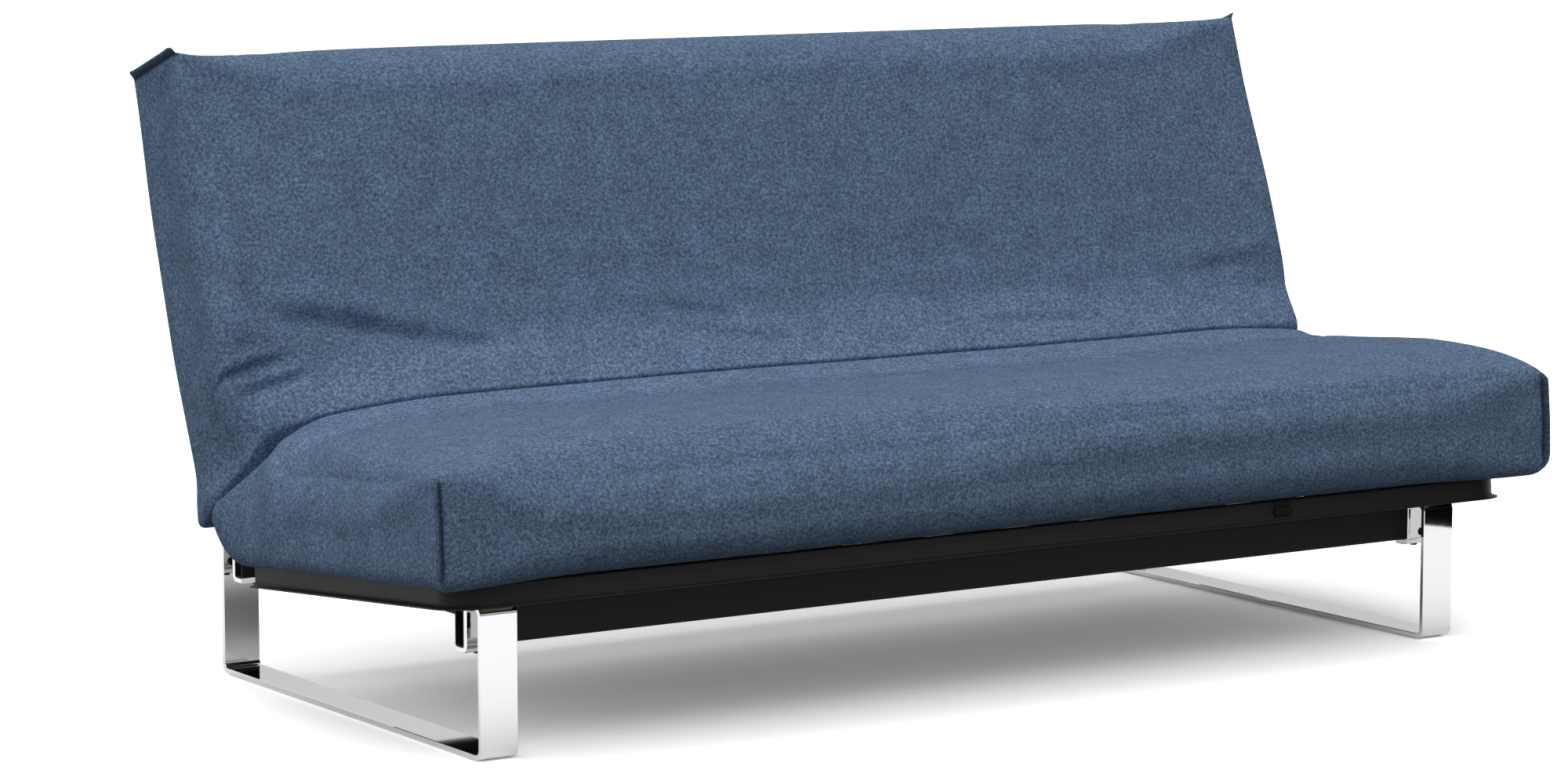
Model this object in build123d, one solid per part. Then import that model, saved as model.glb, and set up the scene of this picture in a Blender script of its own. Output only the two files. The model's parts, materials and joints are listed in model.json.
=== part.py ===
"""Three-position futon sofa bed on two chromed sled legs.

Two slatted steel platforms carry one folding mattress.  They meet at a pair of ratchet hinges.
The seat platform turns on a pivot above the front beam.  The back platform folds down flat,
and its lower rail then lies on the rear beam while the seat comes level.

Millimetres.  +X is the sitter's left, which is the right seen from the front.  The front faces -Y
and +Z is up.  Pieces are placed with y = 0 on the front face of the legs, and the whole model is
then moved so that its origin is the centre of its own box, on the floor.
Each platform and its mattress half is drawn flat, with the hinge axis at the origin: the seat
reaches towards -y and the back is the same platform mirrored.
"""
import os
from math import atan2, cos, degrees, radians, sin, tan

from build123d import *

# --- driving dimensions -------------------------------------------------------------------------
mattress_width = 2000.0
seat_length = 753.0            # hinge axis to the front of the mattress
back_length = 758.0            # hinge axis to the top of the mattress
front_edge_height = 164.0
seat_crown_height = 214.0
seat_fold_rise = 5.0           # the top goes on rising this much from the crown to the fold
back_edge_thickness = 162.0
back_crown_thickness = 172.0
mattress_corner_radius = 26.0
mattress_end_radius = 12.0
cover_thickness = 4.0           # woven cloth with its wadding
foam_thickness = 20.0
core_wall = 3.0                # cloth of the spring pockets and the springs pressed flat in it
layer_gap = 0.3
fold_gap_angle = 0.5           # keeps the two mattress halves apart at the fold

seat_tilt = 5.0                # front of the seat above level, as a sofa
back_angle = 72.0              # back above level, as a sofa
fold_line_angle = 113.5        # direction of the fold, seen from the left end

leg_top = 222.0
leg_width = 60.0
leg_thickness = 8.0
leg_inset = 94.0               # middle of a leg, in from the outside of the platform
leg_corner_radius = 12.0
leg_fold_radius = 10.0
leg_lip_radius = 7.5
leg_edge_chamfer = 0.8
tab_gap = 31.0                 # clear space between an upright and its folded tab
glide_thickness = 2.0

beam_thickness = 24.0
beam_height = 53.0
beam_wall = 2.0
beam_corner_radius = 4.0
rear_beam_lead = 4.0           # rear beam, in front of the middle of the rail it carries
beam_drop = 12.0               # top of the leg's fold above the top of the beam

pivot_rise = 26.0              # seat pivot above the front beam
pivot_setback = 115.0          # seat pivot behind the front rail's outside
pivot_pin_radius = 5.0

side_inset = 43.0              # mattress end beyond the platform's web
end_inset = 48.0               # mattress edge beyond the web, at the front and the top
rail_height = 33.0
rail_wall = 2.5
rail_flange = 22.0
rail_foot = 9.0
rail_foot_fillet = 6.0
rail_corner_radius = 60.0
rail_stub = 12.0
frame_start = 85.0             # hinge axis to the near ends of the rails
cross_depth = 30.0
cross_rebate = 2.0             # cross rail below the bearers' depth, to clear the legs when flat
cross_wall = 2.0
mattress_seat_gap = 0.5        # rail top to the underside of the mattress

inner_slats = 11               # between the bearers, and one more outside each bearer
slat_bearer_gap = 22.0         # from a bearer's middle to the side of the nearest slat
slat_width = 50.0
slat_thickness = 8.0
slat_bow = 9.0
slat_end_level = 1.0           # middle of the slat's end, from the platform's mid-plane
slat_end_gap = 4.0
holder_depth = 28.0
holder_wall = 2.6
holder_clearance = 0.3

bearer_inset = 63.0            # bearer inside the middle of the leg
bearer_width = 16.0
bearer_wall = 2.0
bearer_start = 135.0

cheek_thickness = 4.0
cheek_reach = 250.0
cheek_inset = 1.0              # cheek and boss stay this far inside the bearer and the mattress
arm_reach = 235.0
hinge_pin_radius = 6.0
hinge_pin_clearance = 0.05
small_pin_radius = 4.0
pin_head_height = 2.5
pin_head_overlap = 4.0
washer_slack = 0.05

tooth_count = 3
tooth_tip_radius = 40.0
tooth_root_radius = 34.0
tooth_ramp_angle = 12.0
sector_tail_angle = 4.0        # land behind the last tooth's ramp
lock_angle = -123.5            # a locked tooth's steep face, from +y about the hinge
pawl_pivot_y = -61.0
pawl_pivot_z = 1.3
pawl_nose_angle = 11.0
pawl_nose_height = 9.0
pawl_tooth_gap = 0.6
pawl_lift = 9.0                # swing from released to engaged
pawl_boss_radius = 8.5
stop_radius = 30.0
stop_gap = 0.3

bolt_radius = 4.0
bolt_head_radius = 6.5
bolt_head_height = 4.0
head_chamfer = 1.2
bolt_hole_gap = 0.25
bracket_plate = 4.0
bracket_gap = 0.5

side_plate_inset = 72.5        # tie plate inside the bearer
side_plate_thickness = 5.0
side_plate_flange = 25.0
side_plate_flange_thickness = 4.0
side_plate_sag = 15.0          # lower edge below the beams
side_plate_height = 24.0       # depth of the plate along its middle
pad_gap = 0.5

strap_x = 494.0
strap_width = 30.0

# --- derived places -----------------------------------------------------------------------------
recline_angle = back_angle + seat_tilt
seat_frame_length = seat_length - end_inset
back_frame_length = back_length - end_inset
pivot_reach = seat_frame_length - pivot_setback
beam_top = leg_top - beam_drop
beam_bottom = beam_top - beam_height
front_beam_y = leg_thickness + tab_gap + leg_thickness + beam_thickness / 2
pivot_y = front_beam_y
rear_beam_y = pivot_y + pivot_reach + frame_start + cross_depth / 2 - rear_beam_lead
leg_depth = rear_beam_y + front_beam_y
frame_half_width = mattress_width / 2 - side_inset
leg_centre_x = frame_half_width - leg_inset
beam_length = 2 * leg_centre_x + leg_width
bearer_x = leg_centre_x - bearer_inset
side_plate_x = bearer_x - side_plate_inset
pivot_z = beam_top + pivot_rise
hinge_y = pivot_y + pivot_reach * cos(radians(seat_tilt))
hinge_z = pivot_z - pivot_reach * sin(radians(seat_tilt))
mattress_base = rail_height / 2 + mattress_seat_gap
bearer_height = rail_height - 2 * rail_wall
cross_height = bearer_height - 2 * cross_rebate
cheek_half_height = bearer_height / 2 - cheek_inset
cheek_boss_radius = mattress_base - cheek_inset
arm_hub_radius = cheek_boss_radius
arm_half_height = bearer_height / 2 - bearer_wall
tooth_pitch = recline_angle / tooth_count
fold_in_seat = fold_line_angle + seat_tilt
fold_in_back = fold_line_angle - back_angle


def polar(radius, angle):
    """Point at a radius and an angle in degrees, counter-clockwise from +y."""
    return (radius * cos(radians(angle)), radius * sin(radians(angle)))


def plate(outline, x, thickness):
    """Outline drawn in y and z, made a plate whose middle is at x."""
    return Pos(x - thickness / 2, 0, 0) * extrude(Plane.YZ * outline, amount=thickness)


def x_cylinder(radius, x_low, x_high, y, z):
    """Round bar along X."""
    bar = Cylinder(radius, x_high - x_low)
    return Pos((x_low + x_high) / 2, y, z) * Rot(0, 90, 0) * bar


def box_between(low, high):
    """Block from its lowest to its highest corner."""
    size = [b - a for a, b in zip(low, high)]
    middle = [(a + b) / 2 for a, b in zip(low, high)]
    return Pos(*middle) * Box(*size)


def both_sides(shape):
    """The piece and its mirror image on the other side of the sofa."""
    return [shape, mirror(shape, about=Plane.YZ)]


def as_seat(shape):
    """Place a piece drawn flat on the seat."""
    return Pos(0, hinge_y, hinge_z) * Rot(-seat_tilt, 0, 0) * shape


def as_back(shape):
    """Place a piece drawn flat, towards +y, on the raised back."""
    return Pos(0, hinge_y, hinge_z) * Rot(back_angle, 0, 0) * shape


def flip(shape):
    """Turn a seat piece drawn towards -y into a back piece drawn towards +y."""
    return mirror(shape, about=Plane.XZ)


# --- base ---------------------------------------------------------------------------------------
def leg_path():
    """Centre line of the flat bar: lip, tab, fold, upright, runner, and the same at the rear."""
    half = leg_thickness / 2
    tab_y = leg_thickness + tab_gap + half
    lip_y = tab_y + half + beam_thickness - 3
    lip_z = beam_bottom - half
    fold_z = leg_top - half
    floor_z = glide_thickness + half
    front = [(lip_y, lip_z), (tab_y, lip_z), (tab_y, fold_z), (half, fold_z), (half, floor_z)]
    rear = [(leg_depth - y, z) for y, z in reversed(front)]
    bends = [leg_lip_radius, leg_fold_radius, leg_fold_radius, leg_corner_radius]
    return FilletPolyline(*front, *rear, radius=bends + bends[::-1])


def leg_bolt_places():
    """Height of the bolt in a tab, and the distance of the bolt under the lip from the leg's end."""
    return beam_bottom + 12, leg_thickness + tab_gap + leg_thickness + beam_thickness / 2 + 1


def sled_leg():
    """Chromed flat bar bent into a sled, with a hook at each top that grips a beam."""
    path = Plane.YZ * leg_path()
    start = Plane(origin=path @ 0, z_dir=path % 0, x_dir=(1, 0, 0))
    section = Rectangle(leg_width, leg_thickness)
    section = chamfer(section.vertices(), leg_edge_chamfer)
    bar = sweep(start * section, path=path)
    for hole in leg_bolts(bolt_radius + bolt_hole_gap, 0, 0):
        bar -= hole
    return Pos(leg_centre_x, 0, 0) * bar


def leg_bolts(radius, head_radius, head_height):
    """Bolts of one leg about x = 0: one through each tab, and one up through each lip."""
    tab_bolt_z, lip_bolt_y = leg_bolt_places()
    tab_face = leg_thickness + tab_gap
    shank = 2 * leg_thickness
    bolts = []
    for mirrored in (False, True):
        across = Pos(0, tab_face + shank / 2, tab_bolt_z) * Rot(90, 0, 0) * Cylinder(radius, shank)
        up_z = beam_bottom - leg_thickness
        up = Pos(0, lip_bolt_y, up_z + shank / 2) * Cylinder(radius, shank)
        if head_height:
            head = Cylinder(head_radius, head_height)
            head = chamfer(head.edges().group_by(Axis.Z)[0], head_chamfer)
            across += Pos(0, tab_face - head_height / 2, tab_bolt_z) * Rot(-90, 0, 0) * head
            up += Pos(0, lip_bolt_y, up_z - head_height / 2) * head
        pair = [across, up]
        if mirrored:
            pair = [Pos(0, leg_depth, 0) * mirror(bolt, about=Plane.XZ) for bolt in pair]
        bolts += pair
    return bolts


def beam(y, bracket_holes):
    """Rectangular steel tube across the sofa, with rounded corners."""
    outer = RectangleRounded(beam_thickness, beam_height, beam_corner_radius)
    inner = RectangleRounded(
        beam_thickness - 2 * beam_wall, beam_height - 2 * beam_wall,
        beam_corner_radius - beam_wall)
    wall = Pos(y, (beam_top + beam_bottom) / 2) * (outer - inner)
    tube = plate(wall, 0, beam_length)
    for bolt in leg_bolts(bolt_radius + bolt_hole_gap, 0, 0):
        for x in (-leg_centre_x, leg_centre_x):
            tube -= Pos(x, 0, 0) * bolt
    for hole in side_plate_bolts(bolt_radius + bolt_hole_gap, 0):
        tube -= hole
    if bracket_holes:
        for hole in bracket_bolts(bolt_radius + bolt_hole_gap, 0):
            tube -= hole
    return tube


def side_plate():
    """Cranked plate that ties the beams together and carries the seat's rear rest."""
    front = front_beam_y + beam_thickness / 2
    rear = rear_beam_y - beam_thickness / 2
    land = 40.0
    ramp = 90.0
    low = beam_bottom - side_plate_sag
    end_top = beam_top - 5
    outline = Polyline(
        (front, beam_bottom), (front + land, beam_bottom), (front + land + ramp / 2, low),
        (rear - land - ramp / 2, low), (rear - land, beam_bottom), (rear, beam_bottom),
        (rear, end_top), (rear - land, end_top), (rear - land - ramp, low + side_plate_height),
        (front + land + ramp, low + side_plate_height), (front + land, end_top),
        (front, end_top), close=True)
    face = make_face(outline)
    bends = [v for v in face.vertices() if front + 1 < v.X < rear - 1]
    body = plate(fillet(bends, 18), side_plate_x, side_plate_thickness)
    inside = side_plate_x + side_plate_thickness / 2
    thick = side_plate_flange_thickness
    for near, far in ((front, front + thick), (rear - thick, rear)):
        body += box_between((inside, near, beam_bottom), (inside + side_plate_flange, far, end_top))
    for hole in side_plate_bolts(bolt_radius + bolt_hole_gap, 0):
        body -= hole
    return body


def side_plate_bolts(radius, head_height):
    """Bolts through the flanges of both side plates into the beams."""
    front = front_beam_y + beam_thickness / 2
    thick = side_plate_flange_thickness
    shank = thick + 2 * beam_wall
    x = side_plate_x + side_plate_thickness / 2 + side_plate_flange * 0.55
    bolts = []
    for z in (beam_bottom + 12, beam_top - 17):
        bolt = Pos(x, front + thick - shank / 2, z) * Rot(90, 0, 0) * Cylinder(radius, shank)
        if head_height:
            head = Pos(x, front + thick + head_height / 2, z) * Rot(90, 0, 0)
            bolt += head * extrude(RegularPolygon(bolt_head_radius, 6), head_height / 2, both=True)
        bolts += [bolt, Pos(0, leg_depth, 0) * mirror(bolt, about=Plane.XZ)]
    return [copy for bolt in bolts for copy in both_sides(bolt)]


def bracket_bolts(radius, head_height):
    """One bolt down through each pivot bracket into the front beam."""
    shank = bracket_plate + 3 * beam_wall
    bolt = Pos(bearer_x, pivot_y, beam_top + bracket_plate - shank / 2) * Cylinder(radius, shank)
    if head_height:
        head = Pos(bearer_x, pivot_y, beam_top + bracket_plate + head_height / 2)
        bolt += head * extrude(RegularPolygon(bolt_head_radius, 6), head_height / 2, both=True)
    return both_sides(bolt)


def pivot_bracket():
    """Clevis on the front beam whose rounded ears hold the seat's pivot pin."""
    inner_half = bearer_width / 2 + bracket_gap
    foot = Pos(pivot_y, beam_top + 1) * Rectangle(beam_thickness + 8, 2)
    ear_shape = make_hull((foot + Pos(pivot_y, pivot_z) * Circle(12)).edges())
    ear_x = inner_half + bracket_plate / 2
    body = box_between(
        (bearer_x - inner_half, pivot_y - beam_thickness / 2, beam_top),
        (bearer_x + inner_half, pivot_y + beam_thickness / 2, beam_top + bracket_plate))
    for side in (-1, 1):
        body += plate(ear_shape, bearer_x + side * ear_x, bracket_plate)
    body -= x_cylinder(pivot_pin_radius, bearer_x - 50, bearer_x + 50, pivot_y, pivot_z)
    for hole in bracket_bolts(bolt_radius + bolt_hole_gap, 0):
        body -= hole
    return body


def pin(radius, half_length, y, z, head_radius):
    """Headed pin along X, centred on a bearer."""
    shaft = x_cylinder(radius, bearer_x - half_length, bearer_x + half_length, y, z)
    for side in (-1, 1):
        inner = bearer_x + side * half_length
        outer = inner + side * pin_head_height
        head = x_cylinder(head_radius, min(inner, outer), max(inner, outer), y, z)
        rim = head.edges().filter_by(GeomType.CIRCLE).sort_by_distance((outer, y, z))[0]
        shaft += chamfer(rim, head_chamfer)
    return shaft


def rest_pads():
    """Rubber saddles on the side plates, under the seat's rear rail."""
    rail_y = hinge_y - (frame_start + cross_depth / 2) * cos(radians(seat_tilt))
    low_corner_z = hinge_z + frame_start * sin(radians(seat_tilt)) \
        - cross_height / 2 * cos(radians(seat_tilt))
    plate_top = beam_bottom - side_plate_sag + side_plate_height
    half = side_plate_thickness / 2 + 4
    saddle = box_between(
        (side_plate_x - half, rail_y - 22, plate_top - 9),
        (side_plate_x + half, rail_y + 22, low_corner_z - pad_gap))
    saddle = fillet(saddle.edges().filter_by(Axis.X), 4)
    saddle -= box_between(
        (side_plate_x - side_plate_thickness / 2, rail_y - 30, plate_top - 20),
        (side_plate_x + side_plate_thickness / 2, rail_y + 30, plate_top))
    return both_sides(saddle)


def rear_buffers():
    """Rubber buffers on the rear beam, under the back's lower rail when it lies flat."""
    top = pivot_z - cross_height / 2 - pad_gap
    height = top - beam_top
    buffer = Pos(side_plate_x, rear_beam_y, beam_top + height / 2) * Cone(11, 8, height)
    return both_sides(buffer)


def floor_glides():
    """Felt pads under the runners."""
    pads = []
    for share in (0.06, 0.5, 0.94):
        pad = Pos(leg_centre_x, share * leg_depth, glide_thickness / 2)
        pads += both_sides(pad * Box(leg_width - 12, 36, glide_thickness))
    return pads


# --- slatted platforms --------------------------------------------------------------------------
def rail_section():
    """Pressed rail: web, inward top flange, and an outward foot with a hollow fillet."""
    half = rail_height / 2
    outline = Polyline(
        (-rail_wall, -half), (rail_foot, -half), (rail_foot, -half + rail_wall),
        (0, -half + rail_wall), (0, half), (-rail_flange, half), (-rail_flange, half - rail_wall),
        (-rail_wall, half - rail_wall), close=True)
    face = make_face(outline)
    hollow = face.vertices().sort_by_distance((0, -half + rail_wall))[0]
    face = fillet(hollow, rail_foot_fillet)
    shoulder = face.vertices().sort_by_distance((0, half))[0]
    return fillet(shoulder, rail_wall)


def end_rail(length):
    """Front or top rail with its two rounded corners."""
    stub_end = -(length - rail_corner_radius - rail_stub)
    w = frame_half_width
    path = FilletPolyline(
        (w, stub_end), (w, -length), (-w, -length), (-w, stub_end), radius=rail_corner_radius)
    start = Plane(origin=(w, stub_end, 0), x_dir=(1, 0, 0), z_dir=(0, -1, 0))
    return sweep(start * rail_section(), path=path)


def side_rail(length):
    """Straight rail along one end of the platform."""
    start = Plane(origin=(frame_half_width, -frame_start, 0), x_dir=(1, 0, 0), z_dir=(0, -1, 0))
    reach = length - rail_corner_radius - rail_stub - frame_start
    return extrude(start * rail_section(), amount=reach)


def tube_between(low, high, wall, along):
    """Rectangular tube, open at both ends along 0 (x) or 1 (y)."""
    inner_low = [a if i == along else a + wall for i, a in enumerate(low)]
    inner_high = [b if i == along else b - wall for i, b in enumerate(high)]
    return box_between(low, high) - box_between(inner_low, inner_high)


def cross_rail(hinge_half_width):
    """Three lengths of tube, welded up against the hinge parts at the two bearers."""
    near, far = -frame_start, -(frame_start + cross_depth)
    half = cross_height / 2
    centre_end = bearer_x - hinge_half_width
    outer_start = bearer_x + hinge_half_width
    outer_end = frame_half_width - rail_wall
    centre = tube_between((-centre_end, far, -half), (centre_end, near, half), cross_wall, 0)
    outer = tube_between((outer_start, far, -half), (outer_end, near, half), cross_wall, 0)
    return [centre] + both_sides(outer)


def bearer(length, with_pivot):
    """Tube from the hinge to the end rail."""
    half = bearer_height / 2
    tube = tube_between(
        (bearer_x - bearer_width / 2, -(length - rail_wall), -half),
        (bearer_x + bearer_width / 2, -bearer_start, half), bearer_wall, 1)
    for y in hinge_bolt_places():
        tube -= x_cylinder(bolt_radius + bolt_hole_gap, bearer_x - 20, bearer_x + 20, y, 0)
    if with_pivot:
        reach = pivot_pin_radius + hinge_pin_clearance
        tube -= x_cylinder(reach, bearer_x - 20, bearer_x + 20, -pivot_reach, 0)
    return tube


def slat_places():
    """Middles of the slats across the sofa: evenly between the bearers, and one outside each."""
    reach = bearer_x - slat_bearer_gap - slat_width / 2 - (slat_width + slat_bearer_gap) / 2
    outer = bearer_x + slat_bearer_gap + slat_width / 2
    pitch = 2 * reach / (inner_slats - 1)
    return [-outer] + [i * pitch - reach for i in range(inner_slats)] + [outer]


def slat(length, x):
    """Bent beech slat, bowed up towards the mattress."""
    near = -(frame_start + cross_depth + slat_end_gap)
    far = -(length - rail_wall - slat_end_gap)
    middle = (near + far) / 2
    low = slat_end_level - slat_thickness / 2
    high = slat_end_level + slat_thickness / 2
    top = ThreePointArc((near, high), (middle, high + slat_bow), (far, high))
    bottom = ThreePointArc((far, low), (middle, low + slat_bow), (near, low))
    outline = make_face([top, Line((far, high), (far, low)), bottom, Line((near, low), (near, high))])
    return plate(outline, x, slat_width)


def slat_holder(x, back_y, direction):
    """Plastic pocket on a rail; it holds one end of a slat."""
    low = slat_end_level - slat_thickness / 2 - holder_clearance
    high = slat_end_level + slat_thickness / 2 + holder_clearance + 2.0
    mouth_y = back_y + direction * holder_depth
    half = slat_width / 2 + holder_clearance
    y_low, y_high = min(back_y, mouth_y), max(back_y, mouth_y)
    shell = box_between(
        (x - half - holder_wall, y_low, low - holder_wall),
        (x + half + holder_wall, y_high, high + holder_wall))
    pocket = box_between((x - half, y_low, low), (x + half, y_high, high))
    return shell - Pos(0, direction * holder_wall, 0) * pocket


def slat_holders(length):
    """Both rows of holders of one platform."""
    front_y = -(length - rail_wall)
    rear_y = -(frame_start + cross_depth)
    front = [slat_holder(x, front_y, 1) for x in slat_places()]
    return front + [slat_holder(x, rear_y, -1) for x in slat_places()]


# --- ratchet hinge ------------------------------------------------------------------------------
def hinge_bolt_places():
    """Bolts that fix the hinge plates to a bearer."""
    return (-(bearer_start + 30), -(bearer_start + 85))


def stop_place():
    """The stop pin stands just behind the sector's tail when the back is upright."""
    gap_angle = degrees(atan2(small_pin_radius + stop_gap, stop_radius))
    tail = lock_angle + tooth_pitch * (tooth_count - 1) + tooth_ramp_angle + sector_tail_angle
    return polar(stop_radius, tail + gap_angle)


def cheek(x):
    """Seat side of the hinge: arm on the bearer, boss on the axis, ear for the stop pin."""
    stop = stop_place()
    boss = Circle(cheek_boss_radius)
    pawl_boss = Pos(pawl_pivot_y, pawl_pivot_z) * Circle(cheek_half_height)
    arm_end = Pos(-cheek_reach, 0) * Circle(cheek_half_height)
    ear = Pos(*stop) * Circle(small_pin_radius * 2)
    outline = make_hull((boss + pawl_boss).edges())
    outline += make_hull((pawl_boss + arm_end).edges())
    outline += make_hull((Circle(cheek_boss_radius * 0.8) + ear).edges())
    outline -= Circle(hinge_pin_radius)
    outline -= Pos(pawl_pivot_y, pawl_pivot_z) * Circle(small_pin_radius)
    outline -= Pos(*stop) * Circle(small_pin_radius)
    for y in hinge_bolt_places():
        outline -= Pos(y, 0) * Circle(bolt_radius + bolt_hole_gap)
    return plate(outline, x, cheek_thickness)


def hinge_cheeks():
    """The two cheeks of one hinge."""
    offset = bearer_width / 2 + cheek_thickness / 2
    return [cheek(bearer_x - offset), cheek(bearer_x + offset)]


def sector_outline():
    """Three saw teeth; each has a steep face, a ramp and a land where the pawl drops in."""
    first = lock_angle - recline_angle
    lines = []
    here = polar(arm_hub_radius * 0.5, first)
    for k in range(tooth_count):
        steep = first + k * tooth_pitch
        foot_end = steep + tooth_ramp_angle
        land_end = steep + tooth_pitch
        if k == tooth_count - 1:
            land_end = foot_end + sector_tail_angle
        tip = polar(tooth_tip_radius, steep)
        foot = polar(tooth_root_radius, foot_end)
        land_middle = polar(tooth_root_radius, (foot_end + land_end) / 2)
        land = polar(tooth_root_radius, land_end)
        lines += [Line(here, tip), Line(tip, foot), ThreePointArc(foot, land_middle, land)]
        here = land
    lines.append(Line(here, (0, 0)))
    lines.append(Line((0, 0), polar(arm_hub_radius * 0.5, first)))
    return make_face(lines)


def ratchet_arm():
    """Back side of the hinge, drawn towards +y: toothed sector, hub, and a shank for the bearer."""
    shank = Pos(arm_reach / 2, 0) * Rectangle(arm_reach, 2 * arm_half_height)
    outline = Circle(arm_hub_radius) + shank + sector_outline()
    outline -= Circle(hinge_pin_radius + hinge_pin_clearance)
    for y in hinge_bolt_places():
        outline -= Pos(-y, 0) * Circle(bolt_radius + bolt_hole_gap)
    return plate(outline, bearer_x, bearer_width - 2 * bearer_wall)


def pawl():
    """Pawl, drawn engaged and then swung down to its released position."""
    lead = lock_angle - degrees(atan2(pawl_tooth_gap, tooth_root_radius))
    inner = tooth_root_radius + pawl_tooth_gap
    outer = inner + pawl_nose_height
    nose = make_face(Polyline(
        polar(inner, lead), polar(outer, lead), polar(outer + 2, lead - pawl_nose_angle * 1.3),
        polar(inner + 1.5, lead - pawl_nose_angle), close=True))
    neck = Pos(*polar(outer + 1, lead - pawl_nose_angle)) * Circle(3.6)
    boss = Pos(pawl_pivot_y, pawl_pivot_z) * Circle(pawl_boss_radius)
    tail = Pos(pawl_pivot_y - 17, pawl_pivot_z - 2) * Circle(4)
    outline = nose + make_hull((boss + neck).edges()) + make_hull((boss + tail).edges())
    outline -= Pos(pawl_pivot_y, pawl_pivot_z) * Circle(small_pin_radius + hinge_pin_clearance)
    to_pivot = Pos(0, pawl_pivot_y, pawl_pivot_z)
    engaged = plate(outline, bearer_x, bearer_width - 2 * bearer_wall)
    return to_pivot * Rot(-pawl_lift, 0, 0) * to_pivot.inverse() * engaged


def hinge_washers():
    """Thin washers each side of the ratchet arm and the pawl, on one hinge."""
    inner_x = bearer_width / 2 - bearer_wall + washer_slack
    outer_x = bearer_width / 2
    rings = []
    places = ((0, 0, hinge_pin_radius, 13), (pawl_pivot_y, pawl_pivot_z, small_pin_radius, 8))
    for side in (-1, 1):
        ends = sorted((bearer_x + side * inner_x, bearer_x + side * outer_x))
        for y, z, bore, rim in places:
            ring = x_cylinder(rim, *ends, y, z)
            rings.append(ring - x_cylinder(bore, *ends, y, z))
    return rings


def hinge_bolts():
    """Bolts through one bearer and the plates beside or inside it."""
    bolts = []
    for y in hinge_bolt_places():
        grip = bearer_width / 2 + cheek_thickness
        bolts.append(pin(bolt_radius, grip, y, 0, bolt_head_radius))
    return bolts


def arm_bolts():
    """Bolts through a back bearer and the ratchet arm's shank."""
    return [pin(bolt_radius, bearer_width / 2, y, 0, bolt_head_radius) for y in hinge_bolt_places()]


# --- mattress -----------------------------------------------------------------------------------
def seat_profile():
    """Seat half from the left, drawn flat: upright front edge, crowned top, slanted fold."""
    base = mattress_base
    crown = base + seat_crown_height
    edge = base + front_edge_height
    fold_top = crown + seat_fold_rise
    slope = tan(radians(fold_in_seat + fold_gap_angle / 2 - 90))
    front = -seat_length
    fold_low, fold_high = -base * slope, -fold_top * slope
    crown_y = (front + fold_high) / 2
    shoulder = (front + 0.47 * (crown_y - front), edge + 0.76 * (crown - edge))
    top = ThreePointArc((front, edge), shoulder, (crown_y, crown))
    outline = [
        Line((fold_low, base), (front, base)), Line((front, base), (front, edge)), top,
        Line((crown_y, crown), (fold_high, fold_top)), Line((fold_high, fold_top), (fold_low, base))]
    face = make_face(outline)
    corners = [face.vertices().sort_by_distance(p)[0] for p in ((front, base), (front, edge))]
    return fillet(corners, mattress_corner_radius)


def back_profile():
    """Back half, drawn flat towards -y like the seat: square top edge, gently crowned face."""
    base = mattress_base
    edge = base + back_edge_thickness
    crown = base + back_crown_thickness
    slope = tan(radians(90 - fold_in_back + fold_gap_angle / 2))
    top_end = -back_length
    fold_low, fold_high = -base * slope, -edge * slope
    face_middle = ((top_end + fold_high) / 2, crown)
    outline = [
        Line((fold_low, base), (top_end, base)), Line((top_end, base), (top_end, edge)),
        ThreePointArc((top_end, edge), face_middle, (fold_high, edge)),
        Line((fold_high, edge), (fold_low, base))]
    face = make_face(outline)
    corners = [face.vertices().sort_by_distance(p)[0] for p in ((top_end, base), (top_end, edge))]
    return fillet(corners, mattress_corner_radius)


def mattress_layer(profile, inset):
    """Block of one mattress half, drawn inwards by an inset all round."""
    face = offset(profile, -inset, kind=Kind.INTERSECTION)
    return plate(face, 0, mattress_width - 2 * inset)


def mattress_half(profile):
    """Cover, foam and pocket-spring core of one half, one inside the other."""
    inside_cover = cover_thickness + layer_gap
    inside_foam = inside_cover + foam_thickness
    outside = plate(profile, 0, mattress_width)
    end_x = mattress_width / 2
    rims = outside.edges().filter_by(lambda e: abs(abs(e.center().X) - end_x) < 0.01)
    cover = fillet(rims, mattress_end_radius) - mattress_layer(profile, cover_thickness)
    foam = mattress_layer(profile, inside_cover) - mattress_layer(profile, inside_foam)
    around_core = inside_foam + layer_gap
    inside_core = around_core + core_wall
    core = mattress_layer(profile, around_core) - mattress_layer(profile, inside_core)
    return cover, foam, core


def retaining_strap():
    """Webbing tab with a flat loop, hung on the outside of the front rail."""
    face_y = -(seat_frame_length + 0.3)
    half = rail_height / 2
    web_x = strap_width / 2
    loop_x = web_x + 3
    web = box_between((strap_x - web_x, face_y - 2, -half + 8), (strap_x + web_x, face_y, half))
    loop = box_between((strap_x - loop_x, face_y - 4, -5), (strap_x + loop_x, face_y - 2, 5))
    return web + fillet(loop.edges().filter_by(Axis.Y), 4)


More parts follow.
